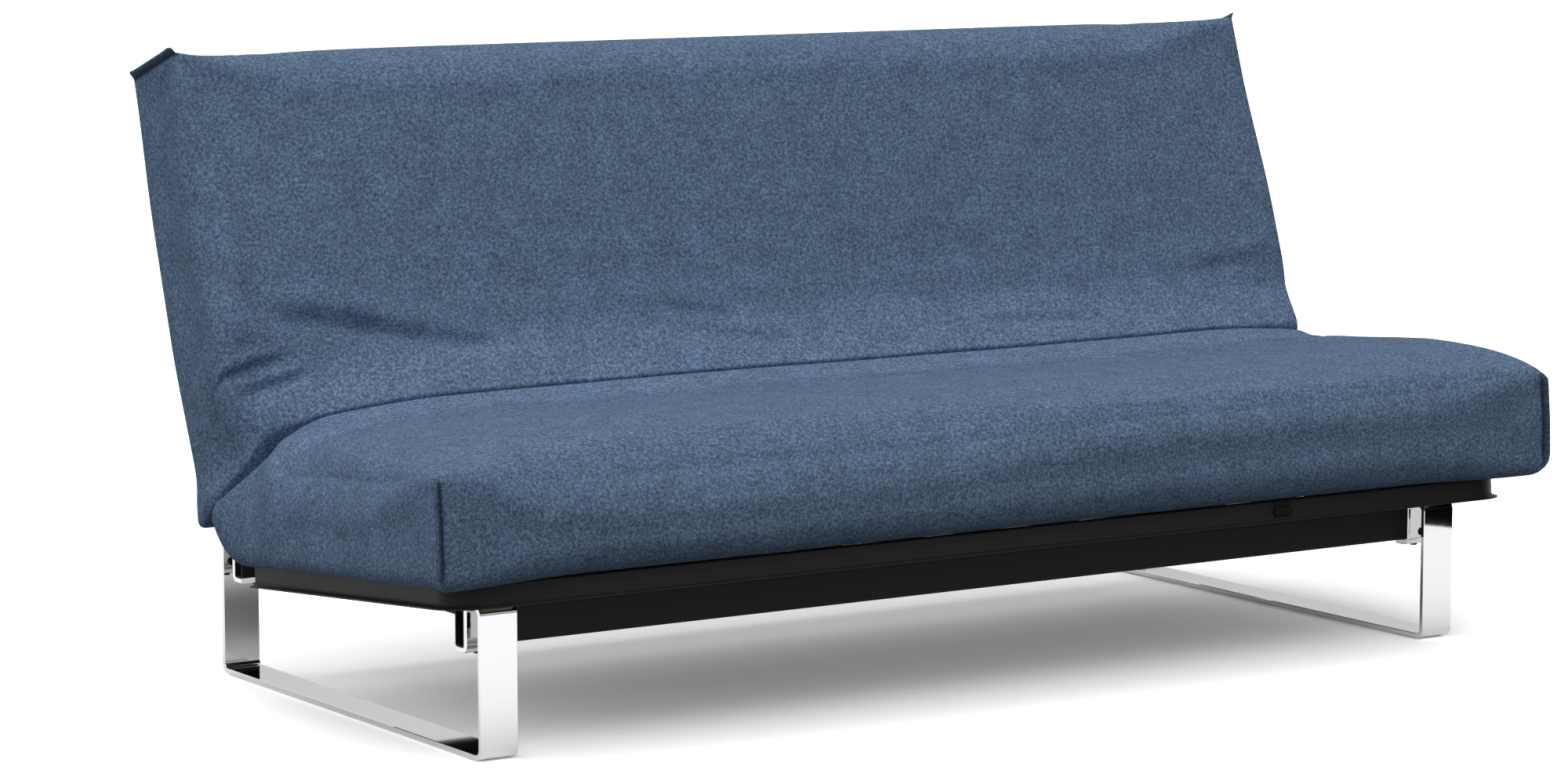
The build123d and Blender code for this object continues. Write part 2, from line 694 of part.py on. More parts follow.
# --- assembly -----------------------------------------------------------------------------------
def base_nodes():
    """Everything that stands on the floor."""
    leg = sled_leg()
    bolts = []
    for bolt in leg_bolts(bolt_radius, bolt_head_radius, bolt_head_height):
        bolts += [Pos(leg_centre_x, 0, 0) * bolt, Pos(-leg_centre_x, 0, 0) * bolt]
    tie = side_plate()
    bracket = pivot_bracket()
    return {
        "sled_leg_right": leg,
        "sled_leg_left": mirror(leg, about=Plane.YZ),
        "front_beam": beam(front_beam_y, True),
        "rear_beam": beam(rear_beam_y, False),
        "leg_bolts": bolts,
        "side_plate_right": tie,
        "side_plate_left": mirror(tie, about=Plane.YZ),
        "side_plate_bolts": side_plate_bolts(bolt_radius, bolt_head_height),
        "pivot_bracket_right": bracket,
        "pivot_bracket_left": mirror(bracket, about=Plane.YZ),
        "pivot_bracket_bolts": bracket_bolts(bolt_radius, bolt_head_height),
        "seat_rest_pads": rest_pads(),
        "rear_buffers": rear_buffers(),
        "floor_glides": floor_glides(),
    }


def seat_nodes():
    """The seat platform, its side of the hinges, and its half of the mattress."""
    length = seat_frame_length
    rail = side_rail(length)
    tube = bearer(length, True)
    cheeks = hinge_cheeks()
    grip = bearer_width / 2 + cheek_thickness
    pivot_grip = bearer_width / 2 + bracket_gap + bracket_plate
    main_pin = pin(hinge_pin_radius, grip, 0, 0, hinge_pin_radius + pin_head_overlap)
    pawl_pin = pin(small_pin_radius, grip, pawl_pivot_y, pawl_pivot_z, small_pin_radius + 2.5)
    stop_pin = x_cylinder(small_pin_radius, bearer_x - grip, bearer_x + grip, *stop_place())
    pivot = pin(pivot_pin_radius, pivot_grip, -pivot_reach, 0, pivot_pin_radius + 3)
    cover, foam, core = mattress_half(seat_profile())
    flat = {
        "seat_front_rail": end_rail(length),
        "seat_side_rail_right": rail,
        "seat_side_rail_left": mirror(rail, about=Plane.YZ),
        "seat_rear_rail": cross_rail(bearer_width / 2 + cheek_thickness),
        "seat_bearer_right": tube,
        "seat_bearer_left": mirror(tube, about=Plane.YZ),
        "seat_slats": [slat(length, x) for x in slat_places()],
        "seat_slat_holders": slat_holders(length),
        "hinge_cheeks_right": cheeks,
        "hinge_cheeks_left": [mirror(c, about=Plane.YZ) for c in cheeks],
        "hinge_pins": both_sides(main_pin),
        "pawl_pins": both_sides(pawl_pin),
        "hinge_stop_pins": both_sides(stop_pin),
        "hinge_washers": [copy for ring in hinge_washers() for copy in both_sides(ring)],
        "hinge_bolts": [copy for bolt in hinge_bolts() for copy in both_sides(bolt)],
        "seat_pivot_pins": both_sides(pivot),
        "retaining_strap": retaining_strap(),
        "seat_cover": cover,
        "seat_foam": foam,
        "seat_spring_core": core,
    }
    return {name: place(as_seat, shape) for name, shape in flat.items()}


def back_nodes():
    """The back platform, its side of the hinges, and its half of the mattress."""
    length = back_frame_length
    rail = side_rail(length)
    tube = bearer(length, False)
    arm = ratchet_arm()
    cover, foam, core = mattress_half(back_profile())
    flat = {
        "back_top_rail": end_rail(length),
        "back_side_rail_right": rail,
        "back_side_rail_left": mirror(rail, about=Plane.YZ),
        "back_lower_rail": cross_rail(bearer_width / 2 - bearer_wall),
        "back_bearer_right": tube,
        "back_bearer_left": mirror(tube, about=Plane.YZ),
        "back_slats": [slat(length, x) for x in slat_places()],
        "back_slat_holders": slat_holders(length),
        "ratchet_arm_right": flip(arm),
        "ratchet_arm_left": mirror(flip(arm), about=Plane.YZ),
        "ratchet_arm_bolts": [copy for bolt in arm_bolts() for copy in both_sides(bolt)],
        "back_cover": cover,
        "back_foam": foam,
        "back_spring_core": core,
    }
    return {name: place(lambda s: as_back(flip(s)), shape) for name, shape in flat.items()}


def pawl_nodes():
    """The two pawls, each a moving body of its own."""
    flat = pawl()
    return {"pawl_right": as_seat(flat), "pawl_left": as_seat(mirror(flat, about=Plane.YZ))}


def place(move, shape):
    """Apply a placement to one solid or to each of a list."""
    return [move(s) for s in shape] if isinstance(shape, list) else move(shape)


def main():
    """Build every node, centre the model on its box and write one STEP file per node."""
    nodes = {**base_nodes(), **seat_nodes(), **back_nodes(), **pawl_nodes()}
    nodes = {name: Compound(shape) if isinstance(shape, list) else shape
             for name, shape in nodes.items()}
    boxes = [shape.bounding_box() for shape in nodes.values()]
    middle = (min(b.min.Y for b in boxes) + max(b.max.Y for b in boxes)) / 2
    os.makedirs("parts", exist_ok=True)
    for name, shape in nodes.items():
        export_step(Pos(0, -middle, 0) * shape, f"parts/{name}.step")
    pawl_pivot = as_seat(Pos(0, pawl_pivot_y, pawl_pivot_z) * Vertex(0, 0, 0)).center()
    print("y shift", round(-middle, 4))
    print("hinge axis", round(hinge_y - middle, 4), round(hinge_z, 4))
    print("seat pivot", round(pivot_y - middle, 4), round(pivot_z, 4))
    print("pawl pivot", round(pawl_pivot.Y - middle, 4), round(pawl_pivot.Z, 4))


main()
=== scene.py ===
"""Looks of the folding sofa bed: one folded mattress in blue tweed with stitched seams, the
finishes of the steel, chrome, beech and rubber pieces, and a pale studio."""

import json
import math

import bpy
import numpy as np
from bpy.props import FloatProperty, FloatVectorProperty, PointerProperty
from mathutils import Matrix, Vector


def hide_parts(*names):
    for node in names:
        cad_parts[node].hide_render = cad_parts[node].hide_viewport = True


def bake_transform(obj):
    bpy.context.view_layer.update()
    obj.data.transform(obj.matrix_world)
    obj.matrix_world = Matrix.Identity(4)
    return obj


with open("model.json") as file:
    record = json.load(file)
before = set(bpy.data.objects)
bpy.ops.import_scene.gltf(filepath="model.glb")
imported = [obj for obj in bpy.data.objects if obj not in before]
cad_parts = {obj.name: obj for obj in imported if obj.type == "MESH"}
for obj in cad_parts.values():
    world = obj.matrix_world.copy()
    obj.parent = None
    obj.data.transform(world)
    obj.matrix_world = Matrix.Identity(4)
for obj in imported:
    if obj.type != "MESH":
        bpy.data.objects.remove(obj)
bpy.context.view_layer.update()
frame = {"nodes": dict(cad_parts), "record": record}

bl_info = {
    "name": "Folding sofa bed",
    "version": (1, 0, 0),
    "blender": (4, 5, 0),
    "location": "View3D > Sidebar > Sofa bed",
    "description": "Builds the mattress, finishes and studio of a folding sofa bed",
    "category": "Object",
}

# --- where things are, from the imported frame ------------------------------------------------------

JOINTS = {j["name"]: j for j in frame["record"]["behaviour"]["joints"]}
HINGE = np.array(JOINTS["back_recline"]["pos_m"])[1:]
RECLINE = math.radians(JOINTS["back_recline"]["range_deg"][1])
TILT = math.radians(JOINTS["seat_level"]["range_deg"][1])
RISE = RECLINE - TILT


def flat_box(node, angle):
    """Lowest and highest corner of a CAD node, from the hinge, with its platform turned back flat
    about the hinge by an angle."""
    mesh = frame["nodes"][node].data
    co = np.empty(len(mesh.vertices) * 3)
    mesh.vertices.foreach_get("co", co)
    co = co.reshape(-1, 3)
    y, z = co[:, 1] - HINGE[0], co[:, 2] - HINGE[1]
    c, s = math.cos(angle), math.sin(angle)
    flat = np.stack([co[:, 0], y * c + z * s, z * c - y * s], 1)
    return flat.min(0), flat.max(0)


SEAT_LOW, SEAT_HIGH = flat_box("seat_cover", -TILT)
BACK_LOW, BACK_HIGH = flat_box("back_cover", RISE)
HALF_WIDTH = float(SEAT_HIGH[0])
BASE = float(SEAT_LOW[2])


# --- small helpers --------------------------------------------------------------------------------

def linear(hex_colour):
    """An sRGB hex colour as linear red, green, blue and alpha."""
    channels = [int(hex_colour[i:i + 2], 16) / 255 for i in (1, 3, 5)]
    return tuple(c / 12.92 if c <= 0.04045 else ((c + 0.055) / 1.055) ** 2.4
                 for c in channels) + (1.0,)


def as_hex(colour):
    """A property's colour, held as the numbers of its sRGB hex, as that hex."""
    return "#" + "".join("%02x" % round(c * 255) for c in colour[:3])


def hex_default(hex_colour):
    """An sRGB hex colour as the three numbers a colour property holds."""
    return tuple(int(hex_colour[i:i + 2], 16) / 255 for i in (1, 3, 5))


def node(tree, kind, links=None, **settings):
    """Adds a node, sets its settings and inputs, and links its inputs to other nodes' outputs."""
    made = tree.nodes.new(kind)
    for key, value in settings.items():
        if key.startswith("in_"):
            socket = int(key[3:]) if key[3:].isdigit() else key[3:].replace("_", " ")
            made.inputs[socket].default_value = value
        else:
            setattr(made, key, value)
    for key, source in (links or {}).items():
        tree.links.new(source, made.inputs[key])
    return made


def new_material(name):
    """A node material with nothing in it but the object's own coordinates."""
    material = bpy.data.materials.new(name)
    material.use_nodes = True
    tree = material.node_tree
    tree.nodes.clear()
    return material, tree, node(tree, "ShaderNodeTexCoord").outputs["Object"]


def mesh_object(name, vertices, faces):
    """A smooth mesh object from an array of vertices and an array or list of faces."""
    mesh = bpy.data.meshes.new(name)
    mesh.from_pydata(np.asarray(vertices, float).tolist(), [], np.asarray(faces).tolist())
    mesh.update()
    mesh.polygons.foreach_set("use_smooth", [True] * len(mesh.polygons))
    made = bpy.data.objects.new(name, mesh)
    bpy.context.collection.objects.link(made)
    return made


# --- mattress -------------------------------------------------------------------------------------

# rows of points beside a rim: the narrow double edge of a pinched seam, out to where it ends
SEAM_ROWS = np.array([0, 0.0019, 0.0033, 0.0052])
SEAM_SHADE_LINE, SEAM_SHADE_WIDTH = 0.0045, 0.0028     # where painted shade darkens the groove the stitches pull in, and how far it spreads
SEAM_LEAN = 0.7           # share of a seam's stand each way, as it points out of a corner
TIGHT = 0.012             # radius of the tightest edges
PRESSURE, CLOTH_FRAMES, HOLD_LEVELS = 4, 20, 50     # of the simulated cloth and its pinning


def ease(t):
    """Smooth step from 0 to 1: three times t squared less twice t cubed."""
    t = np.clip(t, 0, 1)
    return t * t * (3 - 2 * t)


def bell(t):
    """Bell curve, e to the minus t squared: 1 at 0 and near nothing past 2."""
    return np.exp(-t * t)


def spread(length, step, fine, reach, close=(0, 0)):
    """Places from 0 to length, a step apart and closer towards both ends, with about half a step
    between them within `close` of either end.  The density is one over the wanted spacing, and
    places stand at equal shares of its sum."""
    where = np.linspace(0, length, 4001)
    half = np.maximum(ease((close[0] - where) / 0.1), ease((close[1] - length + where) / 0.1))
    density = 1 / (fine + (step * (1 - 0.45 * half) - fine) *
                   ease(np.minimum(where, length - where) / reach))
    total = np.concatenate([[0], np.cumsum((density[1:] + density[:-1]) / 2 * np.diff(where))])
    count = int(round(total[-1] / 2)) * 2
    return np.interp(np.linspace(0, total[-1], count + 1), total, where)


def to_end(x):
    """Distance from a place across to the nearer end of the mattress."""
    return HALF_WIDTH - np.abs(x)


def first_share(x):
    """1 at the first end, at negative x, and 0 at the second, in one smooth step between."""
    return ease((0.2 - x) / 0.4)


def wobble(a, b, seed):
    """The unevenness of a filling, about -1 to 1: the sum of nine sine waves, 0.22 to 0.75 m long,
    each in its own direction and with its own start, and weighted by its length ** 1.2."""
    rng = np.random.default_rng(seed)
    angle, phase, pitch = rng.uniform(0, 1, (3, 9))
    angle, phase, pitch = angle * math.pi, phase * 2 * math.pi, 0.22 + (0.75 - 0.22) * pitch
    share = pitch ** 1.2 / np.sum(pitch ** 1.2)
    a, b = np.asarray(a)[..., None], np.asarray(b)[..., None]
    waves = np.sin(2 * math.pi * (a * np.cos(angle) + b * np.sin(angle)) / pitch + phase)
    return 1.6 * np.sum(share * waves, -1)


def pleat(a, b, start, end, width, depth, ridge):
    """A pleat in cloth along the line from start to end, fading out at both: a valley the shape of
    a bell curve, and a softer ridge on its left for a positive share of the depth, else its right.
    """
    start, run = np.array(start), np.array(end) - np.array(start)
    size = np.hypot(*run)
    along = ((a - start[0]) * run[0] + (b - start[1]) * run[1]) / size ** 2
    across = ((b - start[1]) * run[0] - (a - start[0]) * run[1]) / size
    fade = ease(along * 3) * ease((1 - along) * 3)
    side = math.copysign(2.2 * width, ridge)
    hill = abs(ridge) * bell((across - side) / (1.4 * width))
    return depth * fade * (hill - bell(across / width))


def between(a, b, share):
    """Points a share of the way from a to b: a + (b - a) * share."""
    return a + (b - a) * share


def regrid(values, old, new, axis):
    """Values on a grid of points, moved from old to new places along one axis by the cubic that
    meets the value and the slope of both neighbours."""
    v = np.moveaxis(values, axis, 0)
    slope = np.gradient(v, old, axis=0)
    i = np.clip(np.searchsorted(old, new, "right") - 1, 0, len(old) - 2)
    gap = (old[i + 1] - old[i]).reshape((-1,) + (1,) * (v.ndim - 1))
    t = np.reshape(new - old[i], gap.shape) / gap
    out = (v[i] * (1 + 2 * t) * (1 - t) ** 2 + v[i + 1] * (3 - 2 * t) * t ** 2 +
           gap * t * (1 - t) * (slope[i] * (1 - t) - slope[i + 1] * t))
    return np.moveaxis(out, 0, axis)


def box_skin(counts):
    """The six faces of a box of points: quads of point numbers, each with its front outwards."""
    number = np.arange(np.prod(counts)).reshape(counts)
    grids = [number[:, ::-1, 0], number[:, :, -1], number[:, 0], number[:, -1, ::-1],
             number[0, ::-1], number[-1]]
    quads = [np.stack([g[:-1, :-1], g[1:, :-1], g[1:, 1:], g[:-1, 1:]], -1).reshape(-1, 4)
             for g in grids]
    return np.concatenate(quads)


def corner_curve(start, corner, stop, t):
    """From start to stop, rounding a corner: (1-t)^2 start + 2t(1-t) corner + t^2 stop."""
    t = np.reshape(t, (-1, 1, 1))
    return (1 - t) ** 2 * start + 2 * t * (1 - t) * corner + t ** 2 * stop


class Half:
    """One half of the mattress, drawn flat: u is the distance outwards from the hinge, w the height
    above it, x the place across.  It lies turned about the hinge, with u along `out`, w along
    `up`, and the plane of the fold through `base` along `way`."""

    def __init__(self, p, name, length, out, up, fold_base, fold_way):
        self.p, self.name, self.length = p, name, length
        self.out, self.up = np.array(out), np.array(up)
        self.base = np.array([fold_base @ self.out, fold_base @ self.up])
        self.way = np.array([fold_way @ self.out, fold_way @ self.up])
        self.inward = np.array([self.way[1], -self.way[0]])

    def fold_place(self, w):
        """How far out the fold is at a height: the base's, plus the height gained at its slope."""
        return self.base[0] + (w - self.base[1]) * self.way[0] / self.way[1]

    def corner(self, x):
        """Where the sitting side meets the fold at each place across, and how far along it: a first
        guess, 0.18 m out, goes 0.7 of the way to the fold at its own height, twenty times."""
        u = np.full(x.shape, 0.18)
        for _ in range(20):
            u = between(u, self.fold_place(BASE + self.height(u, x)), 0.7)
        point = np.stack([u, BASE + self.height(u, x)], -1)
        return point, (point - self.base) @ self.way

    def height(self, u, x):
        """Height of the sitting side above the frame: the seat's or the back's own shape, with the
        fold's drop at its first end, which is 1 there and falls with the root of the distance, and
        the filling's unevenness, which fades out at the rims."""
        rim, end, first = self.length - u, to_end(x), first_share(x)
        # the fold drops over its last 0.30 m at the first end, and 0.15 m at the second
        fall = (1 - np.sqrt(np.clip((end + 0.002) / between(0.15, 0.30, first), 0, 1))) ** 1.15
        even = self.p.unevenness * ease(rim / 0.1) * ease(end / 0.1)
        shape = self.seat_height if self.name == "seat" else self.back_height
        return shape(u, x, rim, end, first, fall * first, even)

    def seat_height(self, u, x, rim, end, first, fall, even):
        """From its front edge the seat rises steeply at first and then ever more slowly, as
        1 - (1 - distance / reach) ** 2.2, like the top of a pillow.  Beside the fold it stands up
        in a low step, and a soft crease runs along it in a slow wave."""
        p = self.p
        rise = 1 - (1 - np.clip(rim / p.seat_reach, 0, 1)) ** 2.2
        edge = p.seat_edge + p.last_rise * (1 - first) * ease(1 - end / 0.4)
        crown = p.seat_crown + p.last_rise * ease((x - 0.6) / 0.3)
        h = edge + (crown - edge) * rise * (1 - fall)
        # the step is 12% higher at the second end
        last = between(1.0, 1.12, ease((x - 0.5) / 0.3))
        h = h + p.seat_bunch * last * ease((p.bunch_reach - u) / 0.10)
        h = h - p.seat_fall * fall * ease((0.34 - u) / 0.2)
        line = p.crease_place + 0.012 * np.sin(3.1 * x + 0.4) + 0.004 * np.sin(9 * x)
        h = h - p.crease_depth * bell((u - line) / p.crease_width) * ease((end + 0.05) / 0.3)
        return h + even * wobble(x, u, 3)

    def back_height(self, u, x, rim, end, first, fall, even):
        """The back is an even pad, fullest a third of the way up, that thins towards its top as the
        square of the distance.  Just above the fold it turns out in a knee, a ramp with a rounded
        start, (t + sqrt(t * t + 0.03)) / 2, and its cloth bunches in pleats."""
        p = self.p
        edge = between(p.back_edge, p.first_edge, first * ease(1 - end / 0.4))
        crown = between(p.back_crown, p.last_crown, ease((x - 0.6) / 0.4))
        h = between(edge, crown, ease((u - 0.22) / 0.12) * (1 - ease((u - 0.42) / 0.25)))
        h = h - p.top_fall * np.clip(1 - rim / p.back_reach, 0, 1) ** 2 * ease(end / 0.2)
        h = h + 0.7 * even * wobble(x, u, 8) - p.back_fall * fall * ease((0.36 - u) / 0.2)
        ramp = (p.knee_place - u) / 0.10
        ramp = (ramp + np.sqrt(ramp * ramp + 0.03)) / 2
        # it bunches less than half as much at either end
        bunch = between(1.0, 0.45, ease((-0.35 - x) / 0.4))
        bunch = bunch * between(1.0, 0.4, ease((x - 0.75) / 0.2))
        h = h + p.back_bunch * ramp * ease(end / 0.16) * bunch
        for start, stop, width, depth, ridge in self.pleats():
            h = h + pleat(x, u, start, stop, width, depth, ridge)
        return h

    def pleats(self):
        """Where the cloth of the back bunches just above the fold: start and end as (across, out
        from the hinge), half width, depth and ridge."""
        return (((-0.93, 0.352), (-0.70, 0.312), 0.016, 0.0150, 0.3),
                ((-0.80, 0.328), (-0.53, 0.272), 0.012, 0.0100, 0.3),
                ((-1.04, 0.258), (-0.885, 0.289), 0.0070, 0.0110, 0.4),
                ((-1.00, 0.234), (-0.855, 0.262), 0.0065, 0.0085, 0.4),
                ((-0.27, 0.330), (-0.08, 0.287), 0.0090, 0.0042, 0.3),
                ((-0.26, 0.290), (0.02, 0.238), 0.0090, 0.0042, 0.3),
                ((0.74, 0.318), (1.00, 0.330), 0.016, 0.0060, 0.3),
                ((0.30, 0.262), (0.62, 0.240), 0.009, 0.0040, 0.3))

    def ribs(self, step, x, crease, floor, stitched):
        """Foot and head of each rib at each place across, as (u, w), from the outer edge to the
        floor of the fold, and the rib's place: 0 at the rim, 1 at the lip, 2 at the floor.  The
        sitting side turns over a round lip into the wall of the fold, and the frame side turns up
        to meet it where the two halves press together.  Near the fold the sitting side rises or
        sinks to meet the crease, which both halves share."""
        p = self.p
        main = rim_places(self.length, step, (0, 0.40), stitched) / self.length
        lip, wall = np.linspace(0, 1, 7)[1:], np.linspace(0, 1, 7)[1:]
        end, first = to_end(x), first_share(x)
        corner = self.base + self.way * crease[:, None]
        away = (p.fold_gap / 2 + p.fold_open * first * ease(1 - end / 0.13)) / self.way[1]
        half_angle = math.atan2(self.way[1], self.way[0]) / 2
        lip_radius = p.lip_radius * (1.0 if self.name == "seat" else 0.4)
        cut = lip_radius * (1 + 2 * ease(1 - end / 0.07)) / math.tan(half_angle)
        # where the frame side leaves the slats, and the corner it rounds on its way up to the fold
        foot_start, foot_corner = (0.112, 0.062) if self.name == "seat" else (0.076, 0.056)
        head_u = between(self.length, corner[:, 0] + away + cut, main[:, None])
        foot_u = between(self.length, foot_start, main[:, None])
        miss = corner[:, 1] - BASE - self.height(corner[:, 0], x)
        meet = miss * ease(1 - (head_u - corner[:, 0]) / 0.09)
        head = np.stack([head_u, BASE + self.height(head_u, x) + meet], -1)
        lift = 0.002 * (1 - first) * ease(1 - end / 0.15) * ease((head_u - 0.2) / 0.1)
        if self.name == "seat":
            lift = lift - p.front_sag * ease(1 - (self.length - foot_u) / 0.06)
        foot = np.stack(np.broadcast_arrays(foot_u, BASE + lift), -1)
        corner = corner + np.stack([away, 0 * away], -1)
        stop = corner - self.way * cut[:, None]
        gap_side = self.base + self.inward * p.fold_gap / 2
        lips = corner_curve(head[-1], corner, stop, lip)
        walls = between(stop, gap_side + self.way * floor[:, None], wall[:, None, None])
        share = np.linspace(0, 1, len(lip) + len(wall) + 1)[1:]
        feet = corner_curve(foot[-1], np.array([foot_corner, BASE]), gap_side + 0 * foot[-1], share)
        return (np.concatenate([foot, feet]), np.concatenate([head, lips, walls]),
                np.concatenate([main, 1 + share]))


def rim_places(length, step, close, stitched):
    """Places from a rim to the far end: the seam's rows, then places closing up at both ends."""
    rest = spread(length - 0.008, step, step * 0.22, 0.07, close) + 0.008
    return np.concatenate([SEAM_ROWS if stitched else SEAM_ROWS[:1], rest])


class Shape:
    """The folded mattress as a box of points: ribs along its length, places across, and places up
    each rib.  A narrow gap lies in the plane of the fold, with the floor of the fold across it."""

    def __init__(self, p, step, stitched=True):
        self.p, self.step, self.stitched = p, step, stitched
        way, base = p.fold_angle, p.fold_base_angle
        self.fold_way = np.array([math.cos(way), math.sin(way)])
        self.fold_base = p.fold_base * np.array([math.cos(base), math.sin(base)])
        self.seat = Half(p, "seat", -float(SEAT_LOW[1]), (-math.cos(TILT), math.sin(TILT)),
                         (math.sin(TILT), math.cos(TILT)), self.fold_base, self.fold_way)
        self.back = Half(p, "back", float(BACK_HIGH[1]), (math.cos(RISE), math.sin(RISE)),
                         (-math.sin(RISE), math.cos(RISE)), self.fold_base, self.fold_way)
        across = rim_places(2 * HALF_WIDTH, step, (0.55, 0), stitched)
        seam = 2 * HALF_WIDTH - across[:len(SEAM_ROWS) if stitched else 1]
        across = np.concatenate([across[across < seam[-1] - 0.002], seam])
        self.across = np.sort(across) - HALF_WIDTH
        self.upward = spread(1.0, 0.1, 0.04, 0.3)

    def floor_rows(self):
        """Places across the gap that bend evenly: equal shares w of the turn, found by undoing the
        smooth step as 1/2 - sin(asin(1 - 2w) / 3)."""
        w = np.linspace(0, 1, 17)[1:-1]
        return 2 * (0.5 - np.sin(np.arcsin(1 - 2 * w) / 3)) - 1

    def ribs(self):
        """Every rib's foot and head, and which half it is in: -1 seat, 0 the fold's floor, 1 back.
        """
        p = self.p
        x = self.across
        crease = between(self.seat.corner(x)[1], self.back.corner(x)[1], 0.25)
        opening = first_share(x) * ease(1 - to_end(x) / 0.15)
        floor = np.maximum(crease - between(p.fold_depth, p.end_depth, opening), 0.03)
        how = self.step, x, crease, floor, self.stitched
        seat_foot, seat_head, seat_place = self.seat.ribs(*how)
        back_foot, back_head, back_place = (r[::-1] for r in self.back.ribs(*how))
        q = (self.floor_rows() * p.blend_share)[:, None, None]
        middle = self.seat.inward * p.fold_gap / 2
        floor_head = seat_head[-1] - middle * (1 + q) - self.seat.way * 0.001 * (1 - q * q)
        floor_foot = seat_foot[-1] - middle * (1 + q)
        self.half = np.repeat([-1, 0, 1], [len(seat_foot), len(q), len(back_foot)])[:, None, None]
        # each rib's place: 0 to 2 on the seat, 2 to 3 over the fold's floor, 3 to 5 on the back
        self.along = np.concatenate([seat_place, 2.5 + self.floor_rows() / 2, 5 - back_place])
        return (np.concatenate([seat_foot, floor_foot, back_foot]),
                np.concatenate([seat_head, floor_head, back_head]))

    def points(self):
        """The whole box of points, in the row frame, and two painted marks of the cloth at each: the
        painted shade in the groove beside a stitched seam, and the painted light paler beside the
        fold."""
        foot, head = self.ribs()
        c = self.upward
        along = head - foot
        tall = np.linalg.norm(along, axis=-1)[..., None]
        u = foot[..., None, 0] + along[..., None, 0] * c
        w = foot[..., None, 1] + along[..., None, 1] * c
        x = self.across[:, None] + 0 * u
        length = np.where(self.half > 0, self.back.length, self.seat.length)
        rim = np.where(self.half == 0, 1.0, length - head[..., None, 0] + 0 * u)
        return self.shaped(x, u, w, c, rim, tall, along / tall, head[..., None, 0])

    def shaped(self, x, u, w, c, rim, tall, way, head_u):
        """The box of points with round edges, pinched seams, drawn-in ends and swelling sides."""
        side, end, first = np.sign(x), to_end(x), first_share(x)
        radius = self.edge_radius(u, c, rim, end, first, head_u)
        u, w, inset_end = self.rounded(u, w, c, rim, end, tall, way, radius)
        pinch, ears, seam_shade = self.seam(c, rim, end)
        x = side * (HALF_WIDTH - inset_end) + side * SEAM_LEAN * pinch
        u = u + SEAM_LEAN * pinch + ears
        x, u = self.pulled(x, u, w, c, rim, end, side, first)
        back = self.half > 0
        # painted light: the sitting side is drawn paler in a band beside the fold, fading out by 0.26
        # m from the hinge on the seat and by 0.33 m on the back
        pale = ease(between((0.26 - head_u) / 0.03, (0.33 - head_u) / 0.07, back)) * (c > 0.8)
        return self.place(x, u, w), seam_shade, pale + 0 * u

    def edge_radius(self, u, c, rim, end, first, head_u):
        """Radius of the nearest edge at each point: full along the seat's upper edges, less at its
        corners, beside the fold and underneath, and larger along the back's edges than at its
        corners."""
        p, seat, back = self.p, self.half < 0, self.half > 0
        corner = np.hypot(np.minimum(end, 0.5), np.minimum(rim, 0.5))
        full = p.top_radius * between(0.6, 1.0, first)
        seat_upper = between(TIGHT, full, ease((corner - 0.01) / 0.2))
        seat_upper = between(0.025, seat_upper, ease((head_u - 0.16) / 0.12))
        seat_under = between(0.026, p.under_radius, ease(end / 0.25) * ease((head_u - 0.3) / 0.2))
        top_roll = p.back_top_radius * ease((end - TIGHT) / 0.22)
        end_roll = p.back_end_radius * first * ease((rim - TIGHT) / 0.22)
        roll = np.where(rim < end, top_roll, end_roll)
        back_upper = p.back_radius + roll * ease((u - 0.25) / 0.2)
        return np.where(c > 0.5, np.where(seat, seat_upper, back_upper),
                        np.where(back, TIGHT, seat_under))

    def rounded(self, u, w, c, rim, end, tall, way, radius):
        """Points with round edges, and their new distance from the end.  A point's depth under the
        nearest side and under the top or bottom, as two shares of the edge's radius, makes a
        vector; brought back to length 1 it lies on a round edge."""
        upper = c > 0.5
        depth = np.where(upper, (1 - c) * tall, c * tall)
        into_side = np.clip(1 - np.minimum(end, rim) / radius, 0, 1)
        into_face = np.clip(1 - depth / radius, 0, 1)
        size = np.maximum(np.hypot(into_side, into_face), 1.0)
        inset = radius * (1 - into_side / size)
        inset_end = np.where(into_side > 0, np.maximum(end, inset), end)
        inset_rim = np.where(into_side > 0, np.maximum(rim, inset), rim)
        sink = np.where(into_face > 0, radius * (1 - into_face / size) - depth, 0)
        sink = sink * np.where(upper, -1, 1)
        return (u + way[..., None, 0] * sink - (inset_rim - rim), w + way[..., None, 1] * sink,
                inset_end)

    def seam(self, c, rim, end):
        """At the four corners the cloth stands out in a narrow double edge.  Returns how far, how
        much further at the top and foot of the back's seams, and the painted shade by the stitches."""
        seat, back = self.half < 0, self.half > 0
        seam_place = np.maximum(end, rim)
        up_seam = ease(c / 0.22) * ease((1 - c) / 0.10) * seat + back
        narrow = (SEAM_ROWS[2] - seam_place) / (SEAM_ROWS[2] - SEAM_ROWS[1])
        stand = self.p.seam_stand * np.clip(narrow, 0, 1) * self.stitched
        ears = 0.35 * stand * (bell((1 - c) / 0.09) + bell(c / 0.09))
        # painted shade: a dark line in the groove beside each seam
        seam_shade = bell((seam_place - SEAM_SHADE_LINE) / SEAM_SHADE_WIDTH) * up_seam
        return stand * up_seam, np.where(back, ears, 0), seam_shade

    def pulled(self, x, u, w, c, rim, end, side, first):
        """The ends are drawn in by a bell curve along the fold, most where it opens.  The first end
        stands out a little along its back edge and at the seat's front corner.  The sides swell
        between their edges as the square of a sine, and the seat's front draws in low down."""
        p, seat, back = self.p, self.half < 0, self.half > 0
        way = [np.where(back, self.back.way[i], self.seat.way[i]) for i in (0, 1)]
        base = [np.where(back, self.back.base[i], self.seat.base[i]) for i in (0, 1)]
        off = np.abs((u - base[0]) * way[1] - (w - base[1]) * way[0])
        deep = np.hypot(u, w)
        # a wide valley along the fold, with a sharp one of 8 mm to each side in it
        soft = between(-0.008, p.tuck, ease((deep - 0.105) / 0.13)) * first + 0.008 * (1 - first)
        drawn = soft * bell(off / between(0.075, 0.05, back)) + 0.007 * first * bell(off / 0.008)
        x = x - side * drawn * ease(1 - end / 0.16)
